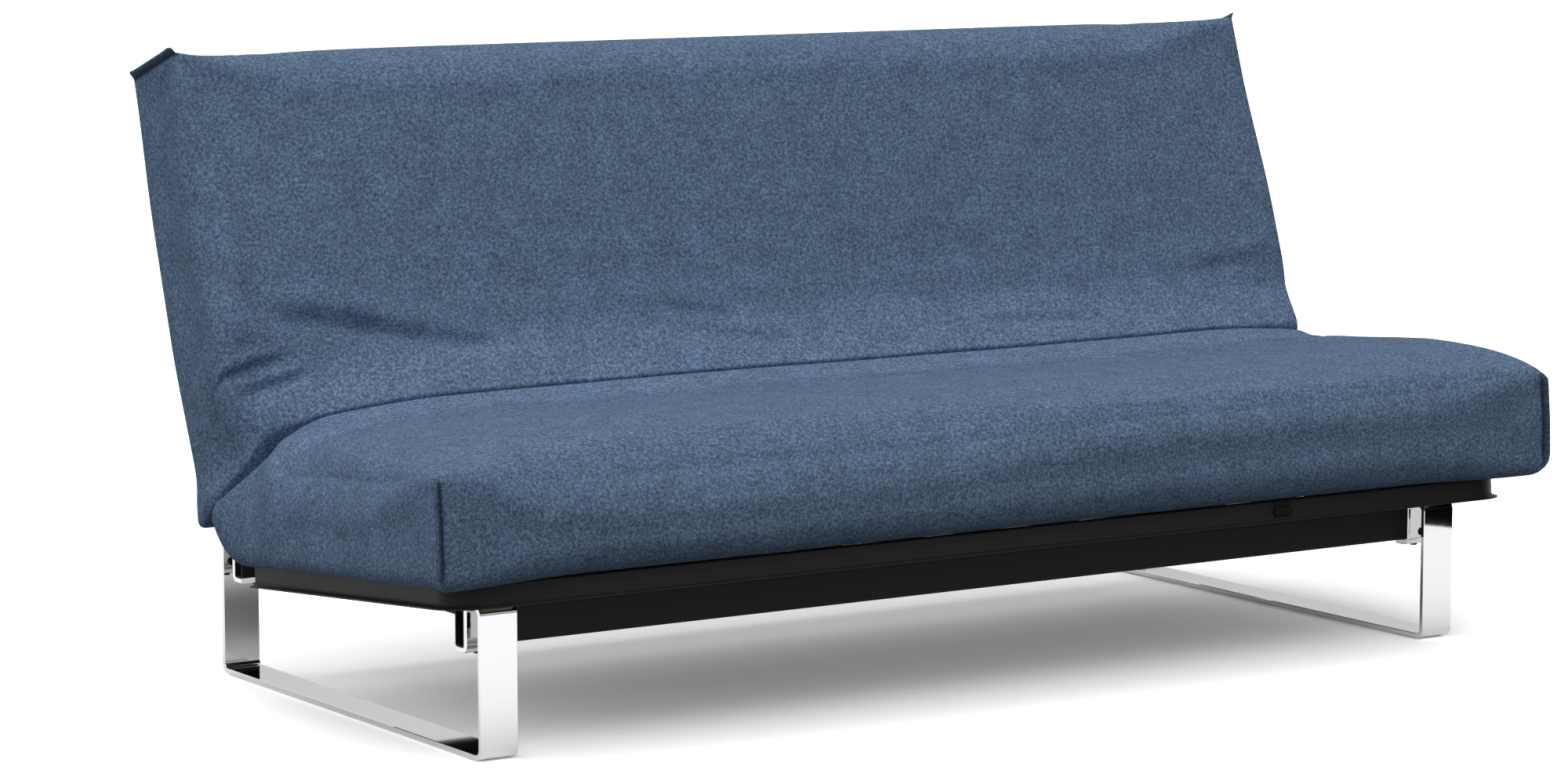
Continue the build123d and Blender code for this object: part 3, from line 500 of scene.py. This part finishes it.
        # the first end stands out 6 mm along the back and 9 mm at the seat's front
        low = ease(1 - end / 0.2) * first
        x = x + side * low * back * 0.006 * ease((u - 0.15) / 0.2) * ease(rim / 0.2)
        x = x + side * low * seat * 0.009 * ease((u - 0.3) / 0.3)
        # the back's top rises 3 to 6 mm at its corners, and 8 mm between them
        u = u + back * between(0.003, 0.006, first) * bell(end / 0.03) * ease(1 - rim / 0.08)
        u = u + back * 0.008 * ease((end - 0.02) / 0.25) * ease(1 - rim / 0.1)
        # the ends and the seat's front swell 2 mm, and the back's top 9 mm
        belly = np.sin(math.pi * c) ** 2 * ease((np.maximum(end, rim) - 0.004) / 0.06)
        x = x + side * 0.002 * belly * ease(1 - end / 0.05) * ease(off / 0.12)
        u = u + between(0.002, 0.009, back) * belly * ease(1 - rim / 0.06)
        return x, u - seat * p.front_tuck * ease((0.6 - c) / 0.6) * ease(1 - rim / 0.08)

    def place(self, x, u, w):
        """Points drawn flat, set where their half lies: u along its `out` and w along its `up`."""
        back = self.half > 0
        y = u * np.where(back, self.back.out[0], self.seat.out[0])
        z = u * np.where(back, self.back.out[1], self.seat.out[1])
        y = y + w * np.where(back, self.back.up[0], self.seat.up[0])
        z = z + w * np.where(back, self.back.up[1], self.seat.up[1])
        return np.stack([x, HINGE[0] + y, HINGE[1] + z], -1)


def skin_object(name, points):
    """A mesh object of the outside of a box of points, and the numbers of the points it uses."""
    quads = box_skin(points.shape[:3])
    used, numbers = np.unique(quads, return_inverse=True)
    return mesh_object(name, points.reshape(-1, 3)[used], numbers.reshape(-1, 4)), used


def swelling(p, shape):
    """How far the filling swells the cover at each point of the shape.

    A plain copy with wider spacing and no seams is blown up as cloth for 20 frames, without
    gravity.  Its underside and the fold are held fast, and the rest by the filling: a pinned
    point's spring grows with the fourth power of its weight, so equal hold per area is the
    area ** 1/4, and up to 16 times that at the edges.  Of a point's distances to the rim, the end
    and the top or bottom the middle one is its distance to the nearest edge.  Each move d is
    capped as d / (1 + (|d| / cap) ** 4) ** 1/4, fades out at the seams, and is carried to the
    shape's own points."""
    plain = Shape(p, p.cloth_step, stitched=False)
    start = plain.points()[0]
    skin, used = skin_object("mattress_cloth", start)
    # a point's area is a quarter of each quad it is in, half the cross product of its diagonals
    quads = box_skin(start.shape[:3])
    corners = start.reshape(-1, 3)[quads]
    normals = np.cross(corners[:, 2] - corners[:, 0], corners[:, 3] - corners[:, 1])
    area = np.zeros(start[..., 0].size)
    np.add.at(area, quads, np.linalg.norm(normals, axis=1)[:, None] / 8)
    area = area.reshape(start.shape[:3]) / p.cloth_step ** 2
    t = np.minimum(plain.along, 5 - plain.along)[:, None, None]
    x, c = plain.across[:, None], plain.upward
    depth = p.seat_edge * np.minimum(c, 1 - c)
    edge = np.sort(np.stack(np.broadcast_arrays(to_end(x), t * 0.75, depth)), 0)[1]
    held = p.cloth_hold * area ** 0.25 * (1 + ease(1 - edge / p.cloth_edge) ** 2)
    held = between(held, 1, np.maximum(ease((t - 0.70) / 0.25), ease(1 - c / 0.05)))
    held = np.minimum(np.ravel(held)[used], 1)
    group = skin.vertex_groups.new(name="held")
    for level in range(1, HOLD_LEVELS + 1):
        numbers = np.flatnonzero(np.round(held * HOLD_LEVELS) == level)
        group.add(numbers.tolist(), level / HOLD_LEVELS, "REPLACE")
    cloth = skin.modifiers.new("cloth", "CLOTH")
    cloth.settings.vertex_group_mass = group.name
    cloth.settings.use_pressure = True
    cloth.settings.uniform_pressure_force = PRESSURE
    cloth.settings.effector_weights.gravity = 0
    cloth.point_cache.frame_start, cloth.point_cache.frame_end = 1, CLOTH_FRAMES
    for frame_number in range(1, CLOTH_FRAMES + 1):
        bpy.context.scene.frame_set(frame_number)
    blown = skin.evaluated_get(bpy.context.evaluated_depsgraph_get()).to_mesh()
    places = np.empty(3 * len(used))
    blown.vertices.foreach_get("co", places)
    moves = np.zeros(start.shape)
    moves.reshape(-1, 3)[used] = places.reshape(-1, 3) - start.reshape(-1, 3)[used]
    mesh = skin.data
    bpy.data.objects.remove(skin)
    bpy.data.meshes.remove(mesh)
    bpy.context.scene.frame_set(1)
    size = np.linalg.norm(moves, axis=-1)[..., None]
    moves = moves / (1 + (size / p.cloth_cap) ** 4) ** 0.25 * ease(edge / 0.04)[..., None]
    moves = regrid(moves, plain.along, shape.along, 0)
    moves = regrid(moves, plain.across, shape.across, 1)
    return regrid(moves, plain.upward, shape.upward, 2)


def make_mattress(p):
    """The mattress: its skin, its bend at the fold and the CAD solids it stands for."""
    shape = Shape(p, p.step)
    points, seam_shade, pale = shape.points()
    points = points + swelling(p, shape)
    skin, used = skin_object("mattress_skin", points)
    # the skin carries the painted seam shade and the painted light beside the fold as two attributes
    for name, shade in (("stitch", seam_shade), ("pale", pale)):
        layer = skin.data.attributes.new(name, "FLOAT", "POINT")
        layer.data.foreach_set("value", np.ravel(shade)[used].astype(np.float32))
    skin.data.materials.append(tweed(p))
    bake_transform(skin)
    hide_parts("seat_cover", "seat_foam", "seat_spring_core",
                "back_cover", "back_foam", "back_spring_core")
    return skin


# --- finishes -------------------------------------------------------------------------------------

def tweed(p):
    """Woven wool-look tweed: looped blue yarns of three shades with pale and dark flecks, with
    painted light making it paler beside the fold and painted shade in the seam grooves.  It gives a
    soft, mottled surface with hardly any shine and a faint fuzz at grazing angles."""
    material, tree, place = new_material("Woven blue tweed")
    # the real loops are about 1.5 mm; drawn 3.6 and 4.6 mm wide, they show, in 45 mm patches
    yarn = node(tree, "ShaderNodeTexVoronoi", {"Vector": place}, in_Scale=1 / 0.0036)
    loops = node(tree, "ShaderNodeTexNoise", {"Vector": place}, in_Scale=1 / 0.0046,
                 in_Detail=3.0, in_Roughness=0.6)
    patch = node(tree, "ShaderNodeTexNoise", {"Vector": place}, in_Scale=1 / 0.045,
                 in_Detail=2.0, in_Roughness=0.5)
    shades = node(tree, "ShaderNodeValToRGB", {"Fac": loops.outputs["Fac"]})
    dark, pale = shades.color_ramp.elements
    dark.position, dark.color = 0.30, linear(as_hex(p.dark_yarn))
    pale.position, pale.color = 0.72, linear(as_hex(p.pale_yarn))
    shades.color_ramp.elements.new(0.5).color = linear(as_hex(p.middle_yarn))
    mottle = node(tree, "ShaderNodeMix", {6: shades.outputs["Color"], 7: patch.outputs["Fac"]},
                  data_type="RGBA", blend_type="OVERLAY", in_Factor=0.25)
    # painted light: the "pale" band beside the fold lifts the yarn colour by a share
    painted_light = node(tree, "ShaderNodeAttribute", attribute_name="pale")
    lift = node(tree, "ShaderNodeMath", {0: painted_light.outputs["Fac"]}, operation="MULTIPLY_ADD",
                in_1=p.painted_light_share, in_2=1.0)
    paler = node(tree, "ShaderNodeVectorMath",
                 {0: mottle.outputs[2], "Scale": lift.outputs["Value"]}, operation="SCALE")
    height = node(tree, "ShaderNodeMath", {0: yarn.outputs["Distance"], 1: loops.outputs["Fac"]},
                  operation="SUBTRACT")
    bump = node(tree, "ShaderNodeBump", {"Height": height.outputs["Value"]},
                in_Strength=0.55, in_Distance=0.0016)
    # painted shade: the groove beside each seam is darkened towards #10161f
    seam = node(tree, "ShaderNodeAttribute", attribute_name="stitch")
    deep = node(tree, "ShaderNodeMath", {0: seam.outputs["Fac"]}, operation="MULTIPLY", in_1=0.95)
    shaded = node(tree, "ShaderNodeMix",
                  {"Factor": deep.outputs["Value"], 6: paler.outputs["Vector"]},
                  data_type="RGBA", in_7=linear("#10161f"))
    shader = node(tree, "ShaderNodeBsdfPrincipled",
                  {"Base Color": shaded.outputs[2], "Normal": bump.outputs["Normal"]},
                  in_Roughness=0.92, in_Specular_IOR_Level=0.1, in_Sheen_Weight=0.04,
                  in_Sheen_Roughness=0.5, in_Sheen_Tint=linear("#7f9cd4"))
    node(tree, "ShaderNodeOutputMaterial", {"Surface": shader.outputs["BSDF"]})
    return material


def chrome():
    """Polished chromium plate on steel bar: a mirror with a trace of grinding lines under it."""
    material, tree, place = new_material("Polished chromium plate")
    # grinding lines of 0.5 mm would not show; drawn about 4.5 mm apart
    lines = node(tree, "ShaderNodeTexNoise", {"Vector": place}, in_Scale=220.0, in_Detail=2.0)
    rough = node(tree, "ShaderNodeMapRange", {"Value": lines.outputs["Fac"]},
                 in_3=0.02, in_4=0.05)
    shader = node(tree, "ShaderNodeBsdfPrincipled", {"Roughness": rough.outputs["Result"]},
                  in_Metallic=1.0, in_Base_Color=linear("#d7d7d8"))
    node(tree, "ShaderNodeOutputMaterial", {"Surface": shader.outputs["BSDF"]})
    return material


def painted_steel():
    """Black powder coat on rolled steel: a satin skin with a fine orange-peel texture."""
    material, tree, place = new_material("Black powder coat")
    # peel of 1.2 mm, as on real powder coat, and slow changes of shine 110 mm across
    peel = node(tree, "ShaderNodeTexNoise", {"Vector": place}, in_Scale=1 / 0.0012, in_Detail=1.0)
    bump = node(tree, "ShaderNodeBump", {"Height": peel.outputs["Fac"]},
                in_Strength=0.12, in_Distance=0.0004)
    shade = node(tree, "ShaderNodeTexNoise", {"Vector": place}, in_Scale=9.0, in_Detail=2.0)
    rough = node(tree, "ShaderNodeMapRange", {"Value": shade.outputs["Fac"]}, in_3=0.36, in_4=0.48)
    shader = node(tree, "ShaderNodeBsdfPrincipled",
                  {"Normal": bump.outputs["Normal"], "Roughness": rough.outputs["Result"]},
                  in_Base_Color=linear("#2d2d2d"), in_Specular_IOR_Level=0.08)
    node(tree, "ShaderNodeOutputMaterial", {"Surface": shader.outputs["BSDF"]})
    return material


def plain_finish(name, colour, roughness, metallic=0.0, grain=0.002, depth=0.0003, contrast=0.12,
                 shine=0.5):
    """A finish whose colour varies by a share, and its roughness by 0.06, with a fine grain."""
    material, tree, place = new_material(name)
    grains = node(tree, "ShaderNodeTexNoise", {"Vector": place}, in_Scale=1 / grain, in_Detail=3.0)
    rough = node(tree, "ShaderNodeMapRange", {"Value": grains.outputs["Fac"]},
                 in_3=roughness - 0.06, in_4=roughness + 0.06)
    base = linear(colour)[:3]
    tone = node(tree, "ShaderNodeMix", {"Factor": grains.outputs["Fac"]}, data_type="RGBA",
                in_6=tuple(c * (1 - contrast) for c in base) + (1.0,),
                in_7=tuple(min(1, c * (1 + contrast)) for c in base) + (1.0,))
    bump = node(tree, "ShaderNodeBump", {"Height": grains.outputs["Fac"]},
                in_Strength=0.3, in_Distance=depth)
    shader = node(tree, "ShaderNodeBsdfPrincipled",
                  {"Base Color": tone.outputs[2], "Roughness": rough.outputs["Result"],
                   "Normal": bump.outputs["Normal"]}, in_Metallic=metallic,
                  in_Specular_IOR_Level=shine)
    node(tree, "ShaderNodeOutputMaterial", {"Surface": shader.outputs["BSDF"]})
    return material


def beech():
    """Steam-bent beech slats: fine straight grain along the slat with small darker flecks."""
    material, tree, place = new_material("Steam-bent beech")
    # grain lines 3 mm wide and 120 mm long, coarser than beech's own of 1 mm
    stretch = node(tree, "ShaderNodeMapping", {"Vector": place},
                   in_Scale=(1 / 0.003, 1 / 0.12, 1 / 0.12))
    grain = node(tree, "ShaderNodeTexNoise", {"Vector": stretch.outputs["Vector"]}, in_Scale=1.0,
                 in_Detail=4.0)
    shades = node(tree, "ShaderNodeValToRGB", {"Fac": grain.outputs["Fac"]})
    dark, pale = shades.color_ramp.elements
    dark.position, dark.color = 0.35, linear("#b98d5e")
    pale.position, pale.color = 0.65, linear("#d9b98c")
    bump = node(tree, "ShaderNodeBump", {"Height": grain.outputs["Fac"]}, in_Strength=0.2,
                in_Distance=0.0003)
    shader = node(tree, "ShaderNodeBsdfPrincipled",
                  {"Base Color": shades.outputs["Color"], "Normal": bump.outputs["Normal"]},
                  in_Roughness=0.45)
    node(tree, "ShaderNodeOutputMaterial", {"Surface": shader.outputs["BSDF"]})
    return material


def finish_frame():
    """Gives every CAD node the finish of its material slot: dull-bright zinc on the small
    hardware, satin black nylon, dead matt rubber, fuzzy felt and ribbed matt webbing."""
    finishes = {
        "chrome": chrome(),
        "black_frame": painted_steel(),
        "zinc": plain_finish("Bright zinc plate", "#a9a9a4", 0.34, 1.0, 0.0025, 0.00005),
        "beech": beech(),
        "nylon": plain_finish("Moulded black nylon", "#1c1c1c", 0.55),
        "rubber": plain_finish("Moulded black rubber", "#191919", 0.8),
        "felt": plain_finish("Pressed grey felt", "#4a4a48", 0.95, 0.0, 0.0015, 0.0006, 0.3),
        "webbing": plain_finish("Woven black webbing", "#141415", 0.85, 0.0, 0.0016, 0.0005, 0.3,
                                0.15),
    }
    plain = plain_finish("Undyed lining", "#d8d2c4", 0.9)
    for part in frame["record"]["subparts"]:
        mesh = frame["nodes"][part["node"]].data
        mesh.materials.clear()
        mesh.materials.append(finishes.get(part["material_slot"], plain))


# --- studio ---------------------------------------------------------------------------------------

def place_facing(made, location, ahead):
    """Puts a lamp or camera in the scene, turned so that its -Z points ahead."""
    made.location = location
    made.rotation_euler = Vector(ahead).to_track_quat("-Z", "Y").to_euler()
    bpy.context.collection.objects.link(made)


def soft_light(name, location, target, size, power):
    """A rectangular white soft box aimed at a target."""
    data = bpy.data.lights.new(name, "AREA")
    data.shape, data.size, data.size_y = "RECTANGLE", size[0], size[1]
    data.energy = power
    lamp = bpy.data.objects.new(name, data)
    place_facing(lamp, location, Vector(target) - Vector(location))


def ray_kinds(tree):
    """Outputs that are 1 for a camera ray, for a ray in metal or glass, and for any of these."""
    path = node(tree, "ShaderNodeLightPath")
    mirror = node(tree, "ShaderNodeMath", {0: path.outputs["Is Glossy Ray"],
                                           1: path.outputs["Is Transmission Ray"]},
                  operation="MAXIMUM")
    seen = node(tree, "ShaderNodeMath", {0: path.outputs["Is Camera Ray"],
                                         1: mirror.outputs["Value"]}, operation="MAXIMUM")
    return path.outputs["Is Camera Ray"], mirror.outputs["Value"], seen.outputs["Value"]


def dark_flag():
    """A black studio flag on the right that only polished metal sees."""
    near, far, low, high = (1.71, -0.67), (1.32, -1.59), 0.028, 0.9
    flag = mesh_object("dark_flag", [(*near, low), (*far, low), (*far, high), (*near, high)],
                       [(0, 1, 2, 3)])
    material, tree, _ = new_material("Black cloth flag")
    cloth = node(tree, "ShaderNodeBsdfDiffuse", in_Color=linear("#0b0b0b"))
    node(tree, "ShaderNodeOutputMaterial", {"Surface": cloth.outputs["BSDF"]})
    flag.data.materials.append(material)
    flag.visible_camera = flag.visible_diffuse = flag.visible_shadow = False
    flag.visible_transmission = flag.visible_volume_scatter = False


def make_floor(p):
    """The pale floor: what is seen of it is white and keeps the sofa's shadow, and what it bounces
    back is dimmer."""
    floor = mesh_object("floor", [(-60, -60, 0), (60, -60, 0), (60, 60, 0), (-60, 60, 0)],
                        [(0, 1, 2, 3)])
    material, tree, _ = new_material("Pale seamless floor")
    camera_ray, mirror_ray, _ = ray_kinds(tree)
    tone = node(tree, "ShaderNodeMix", {"Factor": mirror_ray}, data_type="RGBA",
                in_6=linear(as_hex(p.floor_bounce)), in_7=(p.floor_mirror,) * 3 + (1.0,))
    shown = node(tree, "ShaderNodeMix", {"Factor": camera_ray, 6: tone.outputs[2]},
                 data_type="RGBA", in_7=(p.floor_white,) * 3 + (1.0,))
    matt = node(tree, "ShaderNodeBsdfDiffuse", {"Color": shown.outputs[2]})
    glow = node(tree, "ShaderNodeMath", {0: camera_ray}, operation="MULTIPLY", in_1=p.floor_glow)
    white = node(tree, "ShaderNodeEmission", {"Strength": glow.outputs["Value"]})
    both = node(tree, "ShaderNodeAddShader",
                {0: matt.outputs["BSDF"], 1: white.outputs["Emission"]})
    node(tree, "ShaderNodeOutputMaterial", {"Surface": both.outputs["Shader"]})
    floor.data.materials.append(material)


def make_dome(p):
    """The studio around the sofa.  The unseen dome is brightest along an axis overhead and a little
    to the first end: strength = low + (high - low) * cosine of the angle to the axis.  Polished
    metal sees grey far walls below the white, and the camera sees white."""
    world = bpy.data.worlds.new("Studio")
    world.use_nodes = True
    tree = world.node_tree
    tree.nodes.clear()
    camera_ray, _, seen = ray_kinds(tree)
    place = node(tree, "ShaderNodeTexCoord")
    along = node(tree, "ShaderNodeVectorMath", {0: place.outputs["Generated"]},
                 operation="DOT_PRODUCT", in_1=p.dome_axis)
    dome = node(tree, "ShaderNodeMapRange", {"Value": along.outputs["Value"]},
                in_1=0.0, in_2=1.0, in_3=p.dome_low, in_4=p.dome_high)
    fill = node(tree, "ShaderNodeBackground", {"Strength": dome.outputs["Result"]})
    axes = node(tree, "ShaderNodeSeparateXYZ", {"Vector": place.outputs["Generated"]})
    walls = node(tree, "ShaderNodeMapRange", {"Value": axes.outputs["Z"]},
                 in_1=0.04, in_2=0.30, in_3=p.wall, in_4=1.0)
    bright = node(tree, "ShaderNodeMath", {0: walls.outputs["Result"], 1: camera_ray},
                  operation="MAXIMUM")
    shown = node(tree, "ShaderNodeBackground", {"Strength": bright.outputs["Value"]},
                 in_Color=linear("#ffffff"))
    mix = node(tree, "ShaderNodeMixShader", {0: seen, 1: fill.outputs["Background"],
                                             2: shown.outputs["Background"]})
    node(tree, "ShaderNodeOutputWorld", {"Surface": mix.outputs["Shader"]})
    bpy.context.scene.world = world


def make_stage(p):
    """Pale floor, studio dome, three soft boxes, a dark flag for the chrome, and the camera."""
    make_floor(p)
    make_dome(p)
    soft_light("key_box", (-1.6, -3.4, 3.6), (0, 0.2, 0.5), (3.2, 1.6), p.key)
    soft_light("end_box", (-4.4, -0.9, 1.9), (-0.9, 0, 0.35), (1.8, 1.4), p.end_light)
    soft_light("top_box", (0.2, 0.2, 3.6), (0, 0, 0.3), (3.6, 2.4), p.top)
    dark_flag()

    data = bpy.data.cameras.new("camera")
    data.sensor_width, data.lens = 36.0, p.lens
    camera = bpy.data.objects.new("camera", data)
    yaw, pitch = p.camera_yaw, p.camera_pitch
    place_facing(camera, p.camera_place, (math.sin(yaw) * math.cos(pitch),
                                          math.cos(yaw) * math.cos(pitch), -math.sin(pitch)))
    bpy.context.scene.camera = camera
    bpy.context.scene.view_settings.view_transform = "Standard"


# --- settings, operators and panel ----------------------------------------------------------------

def number(name, description, value, **more):
    """A plain number to set, or one with the unit or subtype given."""
    return FloatProperty(name=name, description=description, default=value, precision=4, **more)


def length(name, description, value):
    """A length to set, in metres."""
    return number(name, description, value, unit="LENGTH")


def angle(name, description, degrees):
    """An angle to set, given in degrees and held in radians."""
    return number(name, description, math.radians(degrees), subtype="ANGLE")


def factor(name, description, value):
    """A share from 0 to 1 to set."""
    return number(name, description, value, min=0, max=1, subtype="FACTOR")


def power(name, description, value):
    """A lamp's power to set, in watts."""
    return number(name, description, value, unit="POWER")


def colour(name, description, hex_colour):
    """A colour to set, given as its sRGB hex and held as the three numbers of it."""
    return FloatVectorProperty(name=name, description=description, subtype="COLOR_GAMMA",
                               min=0, max=1, default=hex_default(hex_colour))


class MattressSettings(bpy.types.PropertyGroup):
    """Sizes and colours of the mattress."""
    step: length("Mesh step", "Distance between the points of the skin", 0.0135)
    cloth_step: length("Cloth step", "Distance between the points of the simulated cloth", 0.036)
    cloth_hold: factor("Filling's hold", "How strongly the filling holds the cover", 0.37)
    cloth_edge: length("Cloth edge", "How far from an edge the cover is free to swell", 0.09)
    cloth_cap: length("Cloth cap", "Most that the filling swells the cover at any point", 0.008)
    seat_edge: length("Seat edge", "Height of the seat at its front and ends", 0.162)
    seat_crown: length("Seat crown", "Height of the seat in the middle", 0.216)
    seat_reach: length("Seat front reach", "How far from the front the crown begins", 0.27)
    seat_bunch: length("Seat bunch", "How far the seat stands up beside the fold", 0.024)
    bunch_reach: length("Bunch reach", "How far from the hinge the seat begins to stand up", 0.250)
    back_edge: length("Back edge", "Thickness of the back at its top and second end", 0.172)
    first_edge: length("First edge", "Thickness of the back at its first end", 0.157)
    back_crown: length("Back crown", "Thickness of the back in the middle", 0.173)
    last_crown: length("Last crown", "Thickness of the back at its second end, low down", 0.185)
    top_fall: length("Top fall", "How far the back thins towards its top edge", 0.012)
    back_reach: length("Back top reach", "How far from the top the crown begins", 0.20)
    back_bunch: length("Back bunch", "How far the back stands out beside the fold", 0.046)
    last_rise: length("Last rise", "How much higher the seat is at its second end", 0.006)
    seat_fall: length("Seat fall", "How far the seat drops at the fold's first end", 0.009)
    back_fall: length("Back fall", "How far the back drops at the fold's first end", 0.0462)
    knee_place: length("Knee", "How far from the hinge the back turns out to the fold", 0.310)
    crease_place: length("Crease", "How far from the hinge the crease in the seat runs", 0.272)
    crease_depth: length("Crease depth", "Depth of the soft crease in the seat", 0.010)
    crease_width: length("Crease width", "Half width of the soft crease in the seat", 0.012)
    top_radius: length("Upper rounding", "Radius of the seat's upper edges", 0.092)
    under_radius: length("Lower rounding", "Radius of the seat's lower front edge", 0.060)
    back_radius: length("Back rounding", "Radius of the back's front edges", 0.014)
    back_top_radius: length("Back top rounding", "How much rounder the back's top edge is", 0.062)
    back_end_radius: length("Back end rounding", "How much rounder its first end is", 0.045)
    front_tuck: length("Front tuck", "How far the seat's front draws in towards the frame", 0.004)
    front_sag: length("Front sag", "How far the seat's front hangs below the slats' tops", 0.005)
    seam_stand: length("Seam", "How far the pinched corner seams stand out", 0.008)
    lip_radius: length("Lip", "Radius of the lips where the fold begins", 0.006)
    fold_gap: length("Fold gap", "Space between the walls of the fold", 0.003)
    fold_open: length("Fold opening", "How far each lip parts at the first end", 0.008)
    fold_depth: length("Fold depth", "How deep the fold goes in below its lips", 0.055)
    end_depth: length("Fold depth at the end", "Depth of the open fold at the first end", 0.110)
    fold_base: length("Fold base", "How far from the hinge the halves part again", 0.100)
    fold_base_angle: angle("Base angle", "Direction of that place from the hinge, from +Y", 106.0)
    fold_angle: angle("Fold angle", "Direction of the fold, from +Y", 125.0)
    blend_share: factor("Bend share", "Share of the gap that bends", 0.93)
    tuck: length("Tuck", "How far the fold draws the ends in", 0.050)
    unevenness: length("Unevenness", "Height of the slow waves of the filling", 0.0025)
    # painted light: how much paler the band beside the fold is drawn
    painted_light_share: factor("Paleness", "How much paler the rubbed cloth beside the fold is", 0.19)
    dark_yarn: colour("Dark yarn", "Darkest yarn", "#3e5068")
    middle_yarn: colour("Middle yarn", "Main yarn", "#5c708a")
    pale_yarn: colour("Pale yarn", "Pale flecks", "#7d93b0")


class StageSettings(bpy.types.PropertyGroup):
    """Light and camera."""
    dome_low: number("Dome low", "Light from near the horizon", 0.275)
    dome_high: number("Dome high", "Light from overhead", 1.37)
    dome_axis: FloatVectorProperty(name="Dome axis", description="Where the dome is brightest",
                                   subtype="DIRECTION", default=(-0.26, -0.10, 0.96))
    wall: number("Far walls", "Brightness of the walls in polished metal", 0.35)
    key: power("Key", "Power of the front soft box", 25.0)
    end_light: power("End light", "Power of the soft box at the first end", 14.0)
    top: power("Top", "Power of the top soft box", 12.0)
    floor_glow: number("Floor glow", "White added to the floor as seen", 0.09)
    floor_white: number("Floor white", "How bright the lit floor is seen", 1.75)
    floor_mirror: number("Floor mirrored", "How bright metal sees the floor", 1.5)
    floor_bounce: colour("Floor bounce", "Floor as it lights the sofa", "#646464")
    lens: number("Lens", "Focal length in millimetres", 105.73, unit="CAMERA")
    camera_yaw: angle("Yaw", "How far the camera is turned right from +Y", 33.32)
    camera_pitch: angle("Pitch", "How far the camera is tipped down", 7.34)
    camera_place: FloatVectorProperty(name="Camera", description="Where the camera stands",
                                      subtype="TRANSLATION", unit="LENGTH",
                                      default=(-4.0024, -5.89095, 1.3349))


class SOFA_OT_mattress(bpy.types.Operator):
    """Build the folded mattress"""
    bl_idname = "sofa.mattress"
    bl_label = "Mattress"

    def execute(self, context):
        make_mattress(context.scene.sofa_mattress)
        return {"FINISHED"}


class SOFA_OT_finishes(bpy.types.Operator):
    """Give the frame, hinges, slats and feet their finishes"""
    bl_idname = "sofa.finishes"
    bl_label = "Frame finishes"

    def execute(self, context):
        finish_frame()
        return {"FINISHED"}


class SOFA_OT_stage(bpy.types.Operator):
    """Build the floor, the lights and the camera"""
    bl_idname = "sofa.stage"
    bl_label = "Stage"

    def execute(self, context):
        make_stage(context.scene.sofa_stage)
        return {"FINISHED"}


class SOFA_PT_panel(bpy.types.Panel):
    """Sofa bed"""
    bl_idname = "SOFA_PT_panel"
    bl_label = "Sofa bed"
    bl_space_type = "VIEW_3D"
    bl_region_type = "UI"
    bl_category = "Sofa bed"

    def draw(self, context):
        layout = self.layout
        for operator in (SOFA_OT_finishes, SOFA_OT_mattress, SOFA_OT_stage):
            layout.operator(operator.bl_idname)
        for settings in (context.scene.sofa_mattress, context.scene.sofa_stage):
            box = layout.box()
            for key in settings.__annotations__:
                box.prop(settings, key)


CLASSES = (MattressSettings, StageSettings, SOFA_OT_finishes, SOFA_OT_mattress, SOFA_OT_stage,
           SOFA_PT_panel)


def register():
    """Adds the classes and gives each scene its settings."""
    for cls in CLASSES:
        bpy.utils.register_class(cls)
    bpy.types.Scene.sofa_mattress = PointerProperty(type=MattressSettings)
    bpy.types.Scene.sofa_stage = PointerProperty(type=StageSettings)


def unregister():
    """Takes away what register adds."""
    del bpy.types.Scene.sofa_stage
    del bpy.types.Scene.sofa_mattress
    for cls in reversed(CLASSES):
        bpy.utils.unregister_class(cls)


def main():
    """Build everything in order."""
    register()
    bpy.ops.sofa.finishes()
    bpy.ops.sofa.mattress()
    bpy.ops.sofa.stage()
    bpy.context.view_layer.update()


if __name__ == "__main__":
    main()
